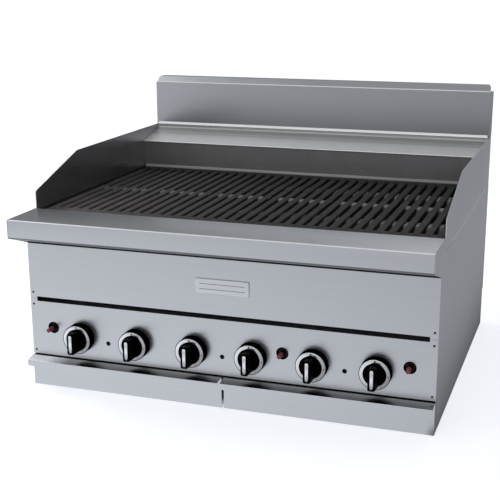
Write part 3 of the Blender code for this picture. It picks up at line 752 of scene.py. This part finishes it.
def valve_panel():
    """Front panel whose punched holes keep sharp walls, painted dark as shade."""
    knob_radius, button_radius, small_radius = 9.5, 13.8, 5.7
    small_xs, small_drop = (-264.0, 0.0, 264.0), 8.0
    face_depth = 0.9            # edges further back than this stay sharp
    holes = [(x * 1000, z * 1000, knob_radius) for x, _, z in KNOB_AXES]
    for i in range(1, 4):
        button = Box("igniter_button_%d" % i)
        holes.append((button.x, button.z, button_radius))
    holes += [(x, KNOB_Z * 1000 - small_drop, small_radius) for x in small_xs]

    def near_hole(x, z, margin):
        return any(math.hypot(x - hole_x, z - hole_z) < radius + margin
                   for hole_x, hole_z, radius in holes)

    ob = clean_copy("valve_panel", M_FRONT)
    # painted shade: the walls of the holes darkened
    paint(ob, M_HOLE_SHADE,
          lambda x, y, z, normal: abs(normal.y) < 0.3 and near_hole(x, z, margin=0.3))
    mesh = ob.data
    weight = mesh.attributes.new("bevel_weight_edge", "FLOAT", "EDGE")
    for edge in mesh.edges:
        first, second = (mesh.vertices[k].co for k in edge.vertices)
        middle = (first + second) * 500
        inner = middle.y > FRONT_Y * 1000 + face_depth
        plain = near_hole(middle.x, middle.z, margin=0.6) or inner or not edge.use_edge_sharp
        weight.data[edge.index].value = 0.0 if plain else 1.0
    bevel(ob, 0.25).limit_method = "WEIGHT"
    give(ob, BODY_OF["valve_panel"], SLOT_OF["valve_panel"], "valve_panel")


def inner_parts():
    reskin("back_panel", M_BACK)
    reskin("firebox_rear_wall", M_DARK)
    reskin("front_heat_shield", M_DARK)
    reskin("base_frame", M_FRAME)
    # painted light: the grate frame's pale colour
    grate_frame = reskin("grate_frame", M_GRATEFRAME, edge=0.35)
    # painted shade on the upstand below the bar tops
    paint_band(grate_frame, M_UPSTAND, (600, 625), (340, 400), lambda normal: True)
    reskin("gas_manifold", M_PIPE, edge=0.0)
    for i in range(1, 7):
        reskin("gas_valve_%d" % i, M_BRASS, edge=0.4)
        reskin("burner_%d" % i, M_BURNER, edge=1.2, segments=3)
        reskin("radiant_%d" % i, M_RADIANT, edge=0.6)
    for i in range(1, 4):
        reskin("igniter_%d" % i, M_MATT)


def firebox_beads():
    """Bead down each rear corner of the firebox, between rear wall and splash."""
    outer_x, inner_x = 447.55, 446.2
    wall_front = Box("firebox_rear_wall").front
    bottom, top = Box("grate_frame").top - 6.0, Box("flue_shelf").bottom - 0.3
    for side, word in SIDES:
        left, right = sorted((side * outer_x, side * inner_x))
        bead = block("firebox_corner_bead_" + word, left, right, wall_front - 0.9,
                     wall_front + 0.1, bottom, top, M_DARK)
        bevel(bead, 0.2)
        give(bead, "cabinet", "dark_steel")


def splash_seams():
    """Rolled edge where each side splash stands on its side panel."""
    seam_x, radius, rise = 448.7, 1.2, 0.7
    front_gap, back_gap = 88, 46
    angles = [math.radians(30 * k) for k in range(12)]
    for side, word in SIDES:
        name = word + "_side_splash"
        box, node = Box(name), NODES[name]
        corners = [node.matrix_world @ vertex.co for vertex in node.data.vertices]
        foot = min(c.z for c in corners if abs(c.x) > cad_high.x - 0.0005) * 1000
        outline = [(side * (seam_x + radius * math.cos(angle)),
                    foot + rise + radius * math.sin(angle)) for angle in angles]
        rings = [[at(x, y, z) for x, z in outline]
                 for y in (box.front + front_gap, box.back - back_gap)]
        # painted highlight on the rolled edge
        seam = build(name + "_rolled_edge", *loft(rings), M_SEAM_HIGHLIGHT)
        give(seam, "cabinet", "stainless_panel")


# ----------------------------------------------------------------------
# folded sheet pieces
# ----------------------------------------------------------------------
def plate_rail():
    """Landing rail: sloped underside, upright face, flat top, short rear drop."""
    box = Box("plate_rail")
    face_bottom = box.top - 40.7
    underside_depth, rear_drop = 33.6, 16.6
    profile = [(box.front + underside_depth, box.bottom), (box.front, face_bottom),
               (box.front, box.top), (box.back, box.top), (box.back, box.top - rear_drop)]
    path = [(y, z, box.left, box.right) for y, z in profile]
    rail = sheet("plate_rail_skin", fillet(path, [3.6, 2.6, 2.0]), 1.5, M_RAIL)
    # painted reflection gradient on the rail top
    paint_band(rail, M_RAILTOP, (box.front - 1, box.back + 1), (box.top - 2, box.top + 1),
               lambda normal: normal.z > 0.5)
    paint_band(rail, M_BEND, (box.front - 1, box.front + 3), (box.top - 3, box.top + 1),
               lambda normal: normal.y < -0.2 and normal.z > 0.2)
    # painted shade under the rail
    paint_band(rail, M_UNDERBEND_SHADE, (box.front - 1, box.front + 36),
               (box.bottom - 3, face_bottom + 3.0),
               lambda normal: normal.y < -0.2 and normal.z < -0.03)
    give(rail, "cabinet", "stainless_panel", "plate_rail")


def back_splash():
    """Upright face with crowned top flange, side returns and a rolled hem at its foot."""
    box = Box("back_splash")
    face = box.front + 4.0
    half = box.right
    thickness = 1.2
    crown = box.top - 14.3       # where the face leans back
    shoulder = 3.8               # the sheet narrows by this from the crown up
    profile = [(face, box.bottom + 1.0, half), (face, crown, half),       # y, z, half width
               (face + 11.3, box.top - 3.0, half - 4.2), (face + 14.3, box.top, half - 8.3),
               (box.back - 1.5, box.top, half - 9.8)]
    path = []
    for y, z, reach in fillet(profile, [3.4, 1.6, 1.7]):
        if z > box.top - 14.6 and reach > half - 4:
            reach = half - shoulder
        path.append((y, z, -reach, reach))
    # painted reflection and highlight come with the back splash material
    splash = sheet("back_splash_skin", path, thickness, M_SPLASH, edge=0.0)

    hem_back, hem_top = face + 0.9, box.bottom + 6.8
    outline = fillet([(hem_back, box.bottom + 6.6), (hem_back, box.bottom),
                      (box.front, box.bottom), (box.front + 0.2, box.bottom + 1.2),
                      (box.front + 2.1, hem_top), (hem_back, hem_top)], [0.4, 0.7, 1.5, 0.8])
    hem = extrude_x("hem", outline, box.left + 4.8, box.right - 4.8, M_SPLASH)
    returns = [block("r", left, right, face + 0.4, box.back - 0.2, box.bottom + 1.2,
                     box.top - 16.5, M_SPLASH)
               for left, right in ((-half, -half + thickness), (half - thickness, half))]
    boolean(splash, [hem] + returns)
    # painted highlight on the front of the hem
    paint_band(splash, M_HEM_HIGHLIGHT, (box.front - 1, face + 0.5), (box.bottom - 1, box.bottom + 8),
               lambda normal: normal.y < -0.2)
    paint_band(splash, M_BEND, (face - 0.5, face + 3.0), (box.top - 17.2, box.top - 11.6),
               lambda normal: normal.y < -0.2 and 0.08 < normal.z < 0.68)
    reshade(splash.data, 30)
    bevel(splash, 0.25)
    give(splash, "cabinet", "stainless_panel", "back_splash")


def flue_shelf():
    """Rolled nose, slope, steeper slope, then a rise to the splash."""
    box = Box("flue_shelf")
    front, back = box.front + 0.1, box.back - 1.2
    profile = [(box.front + 8.0, box.bottom + 0.6), (front, box.bottom + 0.1),
               (front, box.bottom + 3.6), (box.back - 26.6, box.top - 18.6),
               (back, box.top - 8.0), (back, box.top)]
    path = [(y, z, box.left, box.right) for y, z in profile]
    # painted shadow and reflection bands come with the shelf material
    shelf = sheet("flue_shelf_skin", fillet(path, [1.7, 1.7, 4.0, 5.0]), 1.2, M_SHELF)
    give(shelf, "cabinet", "stainless_panel", "flue_shelf")


def name_plate():
    """Blank plate with rounded rim and two engraved pinstripes."""
    box = Box("name_plate")
    corner_radius, stripe_offset = 3.0, 5.6
    rim = [(box.back, 0.2), (box.back - 0.5, 0.0), (box.front + 1.1, 0.0),    # y, inset
           (box.front + 0.7, 0.15), (box.front + 0.25, 0.75), (box.front + 0.05, 1.3),
           (box.front, 1.9)]
    rings = [[at(x, y, z) for x, z in
              round_rect(box.left + inset, box.right - inset, box.bottom + inset,
                         box.top - inset, corner_radius)] for y, inset in rim]
    badge = build("name_plate_skin", *loft(rings), M_BADGE, 40)
    heights = (box.z - stripe_offset, box.z + stripe_offset)
    grooves = [block("c", box.left + 9, box.right - 9, box.front - 1, box.front + 0.45,
                     z - 0.55, z + 0.55) for z in heights]
    boolean(badge, grooves, "DIFFERENCE")
    reshade(badge.data, 40)
    give(badge, "cabinet", "badge_metal", "name_plate")
    for k, z in enumerate(heights):
        stripe = block("name_plate_stripe_%d" % (k + 1), box.left + 9.1, box.right - 9.1,
                       box.front + 0.2, box.front + 0.44, z - 0.5, z + 0.5, M_ENGRAVE)
        bevel(stripe, 0.08)
        give(stripe, "cabinet", "igniter_black")


# ----------------------------------------------------------------------
# drip trays: folded front box with pull lip, and the long pan behind it
# ----------------------------------------------------------------------
TRAY_T = 1.2           # sheet thickness
LIP_REACH = 25.9       # the pull lip stands this far in front of the box
BOX_DEPTH = 39.7
# front of the lip, upward: drop below the top, inset of each end
LIP_STATIONS = [(17.6, 4.4), (17.0, 2.7), (16.0, 1.4), (14.6, 0.5), (13.2, 0.3), (4.0, 0.3)]
# inset of the pan from the left and right of the whole tray
PAN_INSETS = {"left": (6.6, 8.0), "right": (5.0, 6.6)}


def tray_front(node, box):
    face = box.front + LIP_REACH
    back = face + BOX_DEPTH
    path = [(box.front, box.top - drop, box.left + inset, box.right - inset)
            for drop, inset in LIP_STATIONS]
    tail = [(face + TRAY_T, box.top + 0.2, box.left + 0.3, box.right - 0.3),
            (face + TRAY_T, box.bottom + TRAY_T, box.left, box.right),
            (back - TRAY_T, box.bottom + TRAY_T, box.left, box.right),
            (back - TRAY_T, box.top - 0.3, box.left, box.right)]
    bent = fillet(path[-2:] + tail, [1.8, 1.6, 1.0, 1.0], steps=5)
    skin = sheet(node + "_front", path[:-2] + bent, TRAY_T, M_TRAY, edge=0.0)
    outline = [(face + 0.5, box.bottom + 0.5), (back - 0.5, box.bottom + 0.5),
               (back - 0.5, box.top - 0.8), (face + 0.7, box.top - 0.8)]
    ends = [extrude_x("e", outline, left, right, M_TRAY, None)
            for left, right in ((box.left + 0.04, box.left + TRAY_T),
                                (box.right - TRAY_T, box.right - 0.04))]
    boolean(skin, ends)
    # painted reflection on the lip top
    paint_band(skin, M_LIP, (box.front - 1, face - 0.5), (box.top - 5.5, box.top + 1),
               lambda normal: normal.z > 0.45)
    reshade(skin.data, 30)
    bevel(skin, 0.25)
    give(skin, node, "stainless_panel", node)


def tray_pan(node, box, left_inset, right_inset):
    """Open pan with pressed corners."""
    left, right = box.left + left_inset, box.right - right_inset
    floor_z, rim_z = box.bottom + 5.9, box.bottom + 52.5
    front, back = box.front + LIP_REACH + BOX_DEPTH + 0.1, box.back
    # inset, z, corner radius: down the outside, then up the inside
    outside = [(0, rim_z, 7), (0, floor_z + 5, 7), (0.5, floor_z + 2.4, 6.6),
               (1.8, floor_z + 0.7, 6), (4.2, floor_z, 5)]
    inside = [(4.4, floor_z + 1.0, 5), (2.5, floor_z + 1.6, 5.5), (1.5, floor_z + 3.2, 6),
              (1.0, floor_z + 5.5, 6.2), (1.0, rim_z, 6.2)]
    rings = [[at(x, y, z) for x, y in
              round_rect(left + inset, right - inset, front + inset, back - inset, radius, 4)]
             for inset, z, radius in outside + inside]
    count = len(rings[0])
    under = len(outside) - 1
    verts = [point for ring in rings for point in ring]
    faces = []
    for i in range(len(rings)):
        if i == under:          # the floor's two faces close the pan here
            continue
        start, after = i * count, ((i + 1) % len(rings)) * count
        for k in range(count):
            j = (k + 1) % count
            faces.append((start + k, start + j, after + j, after + k))
    for i in (under, under + 1):
        faces.append(tuple(range(i * count, (i + 1) * count)))
    pan = build(node + "_pan", verts, faces, M_TRAY, 40)
    give(pan, node, "stainless_panel")


def drip_trays():
    for word, insets in PAN_INSETS.items():
        node = "drip_tray_" + word
        box = Box(node)
        tray_front(node, box)
        tray_pan(node, box, *insets)


# ----------------------------------------------------------------------
# cast grates
# ----------------------------------------------------------------------
GRATES, BARS_PER_GRATE = 6, 6
BAR_PITCH = 24.686
BAR_HALF = 8.0                          # half width of a bar's top
BAR_ALLOWANCE = 0.15                    # taken off the half width
BAR_SINK = 0.12                         # bar tops lie this far under the CAD top
BAR_DEPTH = 22.6
NOTCHES = ((116, 188), (385, 498))      # shallow spans, from the front of the grate
NOTCH_DEPTH = 7.3
FRONT_BAR_WIDTH = 29
RIB_FRONT, RIB_BACK = 258, 284          # from the front of the grate


def wobble(x, y, layer, size, amount):
    """Cast unevenness; layer picks an independent pattern."""
    return amount * noise.noise(Vector((x, y, layer)) / size)


def bar_section(half_top, half_low, top, low, steps=4):
    """Closed outline (x, z) of a tapered bar with rounded corners."""
    round_top, round_low = 1.9, 0.9
    turns = [(math.cos(angle), math.sin(angle))
             for angle in (math.radians(90 * k / steps) for k in range(steps + 1))]
    wide, high = half_top - round_top, top - round_top
    narrow, deep = half_low - round_low, low + round_low
    return ([(wide + round_top * cos, high + round_top * sin) for cos, sin in turns]
            + [(-wide - round_top * sin, high + round_top * cos) for cos, sin in turns]
            + [(-narrow - round_low * cos, deep - round_low * sin) for cos, sin in turns]
            + [(narrow + round_low * sin, deep - round_low * cos) for cos, sin in turns])


def cast_bar(x, front, back, top, low, notches):
    """One tapered bar with sand-cast unevenness and a rolled rear end.
    notches: (start y, end y, underside z)."""
    places = [front, front + 1.5]
    y = front + 8.0
    while y < back - 10:
        places.append(y)
        y += 9.0
    for start, end, _ in notches:
        places = [p for p in places if abs(p - start) > 2 and abs(p - end) > 2]
    for start, end, _ in notches:
        places += [start - 0.5, start, end, end + 0.5]

    rings = []
    for y in sorted(places):
        under = next((z for start, end, z in notches if start <= y <= end), low)
        crest = top - BAR_SINK + wobble(x, y, 1.0, size=14.0, amount=0.28)
        sway = wobble(x, y, 7.0, size=22.0, amount=0.35)
        half = BAR_HALF + wobble(x, y, 3.0, size=11.0, amount=0.30) - BAR_ALLOWANCE
        share = (crest - under) / (top - low)
        rings.append([at(x + sway + across, y, z) for across, z in
                      bar_section(half, half - 2.5 * share, crest, under)])
    roll, steps = 9.6, 5
    for k in range(1, steps + 1):
        angle = math.radians(82 * k / steps)
        y = back - roll + roll * math.sin(angle)
        crest = top - BAR_SINK - roll * (1 - math.cos(angle))
        half = BAR_HALF - BAR_ALLOWANCE - 1.6 * (k / steps) ** 2
        rings.append([at(x + across, y, z) for across, z in
                      bar_section(half, half - 2.4, crest, low)])
    return build("bar", *loft(rings), M_IRON, 60)


def cast_block(name, left, right, front, back, bottom, top, radius, material):
    """Cross bar running along X with rounded long edges and cast unevenness."""
    rings = []
    count = max(2, int((right - left) / 7.0))
    for k in range(count + 1):
        x = left + (right - left) * k / count
        end = 0.7 if k in (0, count) else 0.0
        crest = top - 0.1 - end * 0.6 + wobble(x, front, 5.0, size=12.0, amount=0.3)
        sway = wobble(x, front, 9.0, size=15.0, amount=0.3)
        rings.append([at(x, y, z) for y, z in
                      round_rect(front + end * 0.5 + sway * 0.5 + 0.15,
                                 back - end * 0.5 + sway * 0.5 - 0.15,
                                 bottom + end * 0.5, crest, radius, 4)])
    return build(name, *loft(rings), material, 60)


def grate(i):
    node = "grate_%d" % i
    box = Box(node)
    middle = (GRATES * BARS_PER_GRATE - 1) / 2
    xs = [(((i - 1) * BARS_PER_GRATE + k) - middle) * BAR_PITCH
          for k in range(BARS_PER_GRATE)]
    notches = [(box.front + start, box.front + end, box.top - NOTCH_DEPTH)
               for start, end in NOTCHES]
    bars = [cast_bar(x, box.front + 16, box.back, box.top, box.top - BAR_DEPTH, notches)
            for x in xs]
    casting = cast_block("front", box.left, box.right, box.front,
                         box.front + FRONT_BAR_WIDTH, box.top - 22.2, box.top - 0.6, 1.8,
                         M_IRON)
    rib = cast_block("rib", xs[0] - 2, xs[-1] + 2, box.front + RIB_FRONT,
                     box.front + RIB_BACK, box.top - 20.6, box.top - 2.2, 2.4, M_RIB)
    boolean(casting, bars + [rib])
    casting.name = node + "_casting"

    def rib_between_bars(x, y, z, normal):
        return (RIB_FRONT - 1 < y - box.front < RIB_BACK + 1
                and min(abs(x - bar_x) for bar_x in xs) > 7.4
                and normal.z > -0.2 and z > box.top - 12)

    paint(casting, M_RIB, rib_between_bars)
    reshade(casting.data, 50)
    give(casting, node, "cast_iron", node)


# ----------------------------------------------------------------------
# knobs: black skirt, silver dial ring with marks, grip with silver pointer
# ----------------------------------------------------------------------
# three dial marks: angle in degrees from +X toward +Z, radius
DIAL_MARKS = [(90, 1.8), (-3, 1.3), (-60, 1.1)]
MARK_CIRCLE = 27.9
# grip ridge from face to crest: share of its height, width, low z, high z, corner radius
RIDGE_STATIONS = [
    (-0.04, 19.6, -22.0, 18.6, 6.5), (0.02, 20.2, -25.4, 20.0, 6.5),
    (0.10, 19.4, -25.4, 20.5, 6.2), (0.35, 18.2, -25.2, 21.4, 5.4),
    (0.65, 17.0, -25.0, 22.2, 4.7), (0.86, 16.4, -24.8, 22.0, 4.2),
    (0.94, 16.1, -24.6, 21.8, 4.0), (0.975, 15.6, -24.3, 21.4, 3.7),
    (0.992, 14.9, -23.8, 20.9, 3.3), (1.0, 13.8, -23.2, 20.3, 2.8)]
# pointer from top to bottom: z, half width, set back from the tip
POINTER_STATIONS = [
    (21.8, 3.9, 2.4), (21.3, 4.4, 1.5), (20.3, 4.65, 0.8), (18.8, 4.6, 0.38),
    (16.5, 4.15, 0.16), (12.5, 3.75, 0.05), (6.5, 3.5, 0.0), (0.0, 3.4, 0.0),
    (-7.5, 3.5, 0.0), (-14.0, 3.7, 0.08), (-19.0, 4.0, 0.32), (-21.6, 4.2, 0.7),
    (-23.2, 4.2, 1.3), (-24.1, 3.9, 2.4)]


def knob_bezel(node, knob_x, knob_z):
    """Skirt, ring and marks, fixed to the cabinet.  Profiles are (radius, y)."""
    box = Box(node)
    front, back = box.front, box.back
    radius = (box.right - box.left) / 2
    profile = [(10.0, back)] + arc(radius - 0.8, back - 0.8, 0.8, 90, 0, 3) \
        + [(radius, front + 2.4)] + arc(radius - 1.6, front + 1.9, 1.6, 0, -70, 5) \
        + [(radius - 1.2, front + 0.9), (24.9, front + 0.9), (24.7, front + 6.0),
           (10.0, front + 6.0)]
    skirt = turned(node + "_skirt", profile, 96, knob_x, knob_z, M_SKIRT, local=True)
    give(skirt, "cabinet", "knob_black", node)
    profile = [(24.0, front + 4.0), (24.0, front + 0.45)] \
        + arc(24.4, front + 0.42, 0.4, 180, 270, 3) \
        + [(26.4, front + 0.10), (28.6, front + 0.32), (30.9, front + 0.62),
           (31.5, front + 0.85), (31.7, front + 1.2), (31.7, front + 1.6),
           (24.9, front + 2.2), (24.9, front + 4.0)]
    ring = turned(node + "_ring", profile, 96, knob_x, knob_z, M_RING, 40, local=True)
    give(ring, "cabinet", "chrome_ring")
    for k, (degrees, size) in enumerate(DIAL_MARKS):
        angle = math.radians(degrees)
        profile = [(0, front - 0.05), (size * 0.8, front - 0.05), (size, front + 0.08),
                   (size, front + 0.8), (0, front + 0.8)]
        mark = turned("%s_mark_%d" % (node, k + 1), profile, 20,
                      knob_x + MARK_CIRCLE * math.cos(angle),
                      knob_z + MARK_CIRCLE * math.sin(angle), M_MARK)
        give(mark, "cabinet", "knob_black")


def knob_grip(node, knob_x, knob_z, face, crest):
    """Round disc with an upright ridge across it."""
    profile = [(0, face), (21.6, face)] + arc(22.2, face + 1.2, 1.2, -90, 0, 5) \
        + [(23.4, face + 5.8), (4.4, face + 5.8), (4.4, face + 2.1), (0, face + 2.1)]
    grip = turned(node + "_grip", profile, 96, knob_x, knob_z, M_BLACK)
    rings = []
    for share, width, low, high, radius in RIDGE_STATIONS:
        y = face - (face - crest) * share
        rings.append([at(knob_x + x, y, knob_z + z) for x, z in
                      round_rect(-width / 2, width / 2, low, high, radius, 8)])
    boolean(grip, [build("ridge", *loft(rings), M_BLACK)])
    reshade(grip.data, 38)
    bevel(grip, 0.5, 3, 38)
    give(grip, node, "knob_black", node)


def knob_pointer(node, knob_x, knob_z, tip, crest):
    """Inlay down the ridge, flared at its upper end, its front slightly crowned."""
    rings = []
    for z, half, setback in POINTER_STATIONS:
        half -= 0.25
        ring = []
        for k in range(9):
            share = -1 + 2 * k / 8
            ring.append(at(knob_x + half * share, tip + setback + 0.45 * share * share,
                           knob_z + z))
        ring += [at(knob_x + side * half, crest + 4.6, knob_z + z) for side in (1, -1)]
        rings.append(ring)
    pointer = build(node + "_pointer", *loft(rings), M_INLAY, 45)
    give(pointer, node, "chrome_ring")


def knobs():
    for i, axis in enumerate(KNOB_AXES, 1):
        node, bezel = "knob_%d" % i, "knob_bezel_%d" % i
        knob_x, knob_z = axis[0] * 1000, axis[2] * 1000
        tip = Box(node).front
        crest = tip + 0.5
        knob_bezel(bezel, knob_x, knob_z)
        knob_grip(node, knob_x, knob_z, Box(bezel).front - 0.4, crest)
        knob_pointer(node, knob_x, knob_z, tip, crest)


# ----------------------------------------------------------------------
# small front parts
# ----------------------------------------------------------------------
def igniter_buttons():
    """Red caps with a domed rim and a groove round the side."""
    for i in range(1, 4):
        node = "igniter_button_%d" % i
        box = Box(node)
        front = box.front
        radius = (box.right - box.left) / 2
        profile = [(0, front + 0.35), (1.6, front + 0.22)] \
            + arc(radius - 1.5, front + 1.5, 1.5, -90, 0, 6) \
            + [(radius, front + 6.0), (radius - 0.25, front + 6.4),
               (radius - 0.25, front + 7.2), (radius, front + 7.6), (radius, box.back),
               (0, box.back)]
        cap = turned(node + "_cap", profile, 40, box.x, box.z, M_RED)
        give(cap, node, "button_red", node)


def panel_screws():
    """Blackened pan heads with a cross recess, three down each side."""
    upper, lower = Box("upper_front_panel"), Box("valve_panel")
    side_inset = 7.4
    face = lower.front
    recess_half, slot_half, slot_floor = 1.5, 0.28, face - 0.75
    # radius, y
    profile = [(0, face - 1.35), (0.9, face - 1.3), (1.7, face - 1.05), (2.3, face - 0.6),
               (2.5, face - 0.1), (2.5, face + 0.02), (0, face + 0.02)]
    places = [(x, z) for x in (upper.left + side_inset, upper.right - side_inset)
              for z in (lower.top + 14.6, lower.top - 12.4, lower.bottom + 8.5)]
    for i, (x, z) in enumerate(places, 1):
        head = turned("panel_screw_%d" % i, profile, 28, x, z, M_SCREW, 40)
        slots = [block("s", x - wide, x + wide, face - 2, slot_floor, z - high, z + high)
                 for wide, high in ((recess_half, slot_half), (slot_half, recess_half))]
        boolean(head, slots, "DIFFERENCE")
        reshade(head.data, 40)
        give(head, "cabinet", "frame_steel")


# ----------------------------------------------------------------------
# stage
# ----------------------------------------------------------------------
def add_floor(scene):
    size = 40.0          # half width, metres
    mesh = bpy.data.meshes.new("floor")
    mesh.from_pydata([(-size, -size, 0), (size, -size, 0), (size, size, 0), (-size, size, 0)],
                     [], [(0, 1, 2, 3)])
    floor = bpy.data.objects.new("floor", mesh)
    floor.location.z = cad_low.z - 0.0004
    scene.collection.objects.link(floor)
    mesh.materials.append(floor_material())


def floor_material():
    """Pale floor, glowing by its own pattern where it is mirrored in metal."""
    g = Material("pale_floor")
    place = g.coords()
    soft = g.noise(place, scale=2.0, detail=3.0, rough=0.5)
    tone = g.mix(soft, (0.80, 0.80, 0.80), (0.84, 0.84, 0.84))
    axes = g.split(place)
    x, y = axes["X"], axes["Y"]
    light_path = g.add("ShaderNodeLightPath")
    camera_ray = light_path.outputs["Is Camera Ray"]
    glossy_ray = light_path.outputs["Is Glossy Ray"]
    # mirrored glow: bright apron in front, fading to the right
    apron = g.plus(g.remap(x, span=(-1.0, 0.0), to=(0.945, 0.785)),
                   g.remap(x, span=(0.0, 0.7), to=(0.0, -0.165)))
    apron = g.plus(apron, g.remap(x, span=(0.7, 2.0), to=(0.0, -0.2)))
    apron = g.times(apron, g.remap(y, span=(cad_low.y - 1.3, cad_low.y - 0.2),
                                   to=(0.86, 1.12)))
    # floor to the right of the cabinet
    away = g.minus(x, cad_high.x)
    beside = g.plus(g.remap(away, span=(0.0, 0.22), to=(0.16, 0.49)),
                    g.remap(away, span=(0.25, 0.55), to=(0.0, -0.11)))
    is_beside = g.times(g.remap(x, span=(cad_high.x - 0.02, cad_high.x)),
                        g.remap(y, span=(FRONT_Y - 0.05, FRONT_Y - 0.02)))
    # floor behind the cabinet
    rear = g.remap(x, span=(-1.6, 0.9), to=(0.08, 0.50))
    is_rear = g.remap(y, span=(cad_high.y - 0.1, cad_high.y + 0.5))
    mirrored = g.blend(g.blend(apron, rear, is_rear), beside, is_beside)
    camera_glow = 0.60
    glow = g.plus(g.times(mirrored, glossy_ray), g.times(camera_ray, camera_glow))
    g.set(Base_Color=g.mix(glossy_ray, tone, (0.0, 0.0, 0.0)), Roughness=0.9,
          Specular_IOR_Level=0.0, Emission_Color=(0.96, 0.98, 1.03, 1.0),
          Emission_Strength=glow)
    return g.mat


def add_world(scene):
    """Grey room with a long low softbox in front and a window high on the left."""
    world = bpy.data.worlds.new("studio")
    scene.world = world
    world.use_nodes = True
    g = Graph(world.node_tree)
    output = g.add("ShaderNodeOutputWorld")
    background = g.add("ShaderNodeBackground")
    g.wire(background.outputs[0], output.inputs[0])
    axes = g.split(g.add("ShaderNodeTexCoord").outputs["Generated"])
    x, y, z = (axes[k] for k in "XYZ")
    # room, brightest in the middle
    level = g.plus(g.remap(x, span=(-0.55, -0.30), to=(0.18, 0.31)),
                   g.remap(x, span=(0.12, 0.55), to=(0.0, -0.30)))
    level = g.plus(level, g.remap(x, span=(-0.30, 0.0), to=(0.0, 0.29)))
    lamp_level = 1.1        # of softbox and window
    softbox = g.times(g.remap(y, span=(-0.80, -0.35), to=(1.0, 0.0)),
                      g.times(g.remap(z, span=(0.10, 0.24)),
                              g.remap(z, span=(0.50, 0.60), to=(1.0, 0.0))))
    softbox = g.times(softbox, g.remap(x, span=(-0.6, 0.2), to=(1.2, 0.7)))
    level = g.plus(level, g.times(softbox, lamp_level))
    window = g.times(g.remap(x, span=(-0.60, -0.38), to=(1.0, 0.0)),
                     g.times(g.remap(z, span=(0.42, 0.60)),
                             g.remap(z, span=(0.80, 0.90), to=(1.0, 0.0))))
    level = g.plus(level, g.times(window, lamp_level))
    level = g.plus(level, g.remap(z, span=(0.80, 0.95), to=(0.0, 0.12)))   # ceiling
    backdrop = 1.04         # what the camera itself sees
    camera_ray = g.add("ShaderNodeLightPath").outputs["Is Camera Ray"]
    g.wire(g.blend(level, backdrop, camera_ray), background.inputs["Strength"])
    background.inputs["Color"].default_value = (0.975, 0.985, 1.0, 1.0)


def add_window_lamp(scene):
    lamp = bpy.data.lights.new("window", "AREA")
    lamp.shape = "DISK"
    lamp.size = 1.7
    lamp.energy = 14.0
    window = bpy.data.objects.new("window", lamp)
    window.location = (-2.3, 0.3, 2.4)
    aim = Vector((0, 0, 0.3)) - window.location
    window.rotation_euler = aim.to_track_quat("-Z", "Y").to_euler()
    scene.collection.objects.link(window)


def add_camera(scene):
    """Camera in front and to the right, looking down and to the left."""
    data = bpy.data.cameras.new("camera")
    camera = bpy.data.objects.new("camera", data)
    scene.collection.objects.link(camera)
    yaw, pitch, roll = math.radians(18.775), math.radians(15.504), math.radians(-0.213)
    forward = Vector((-math.sin(yaw) * math.cos(pitch), math.cos(yaw) * math.cos(pitch),
                      -math.sin(pitch)))
    right = Vector((math.cos(yaw), math.sin(yaw), 0))
    above = right.cross(forward)
    matrix = Matrix((right * math.cos(roll) + above * math.sin(roll),
                     -right * math.sin(roll) + above * math.cos(roll),
                     -forward)).transposed().to_4x4()
    matrix.translation = Vector((0.73280, -2.33691, 0.89652))
    camera.matrix_world = matrix
    data.sensor_width = 36.0
    data.lens = 76.227408
    data.shift_x = -0.0036
    data.shift_y = 0.02852
    data.clip_start, data.clip_end = 0.05, 100.0
    scene.camera = camera


side_casings()
reskin("upper_front_panel", M_FRONT)
valve_panel()
inner_parts()
firebox_beads()
splash_seams()
plate_rail()
back_splash()
flue_shelf()
name_plate()
drip_trays()
for number in range(1, GRATES + 1):
    grate(number)
knobs()
igniter_buttons()
panel_screws()

stage = bpy.context.scene
stage.view_settings.view_transform = "Standard"
stage.view_settings.look = "None"
add_floor(stage)
add_world(stage)
add_window_lamp(stage)
add_camera(stage)
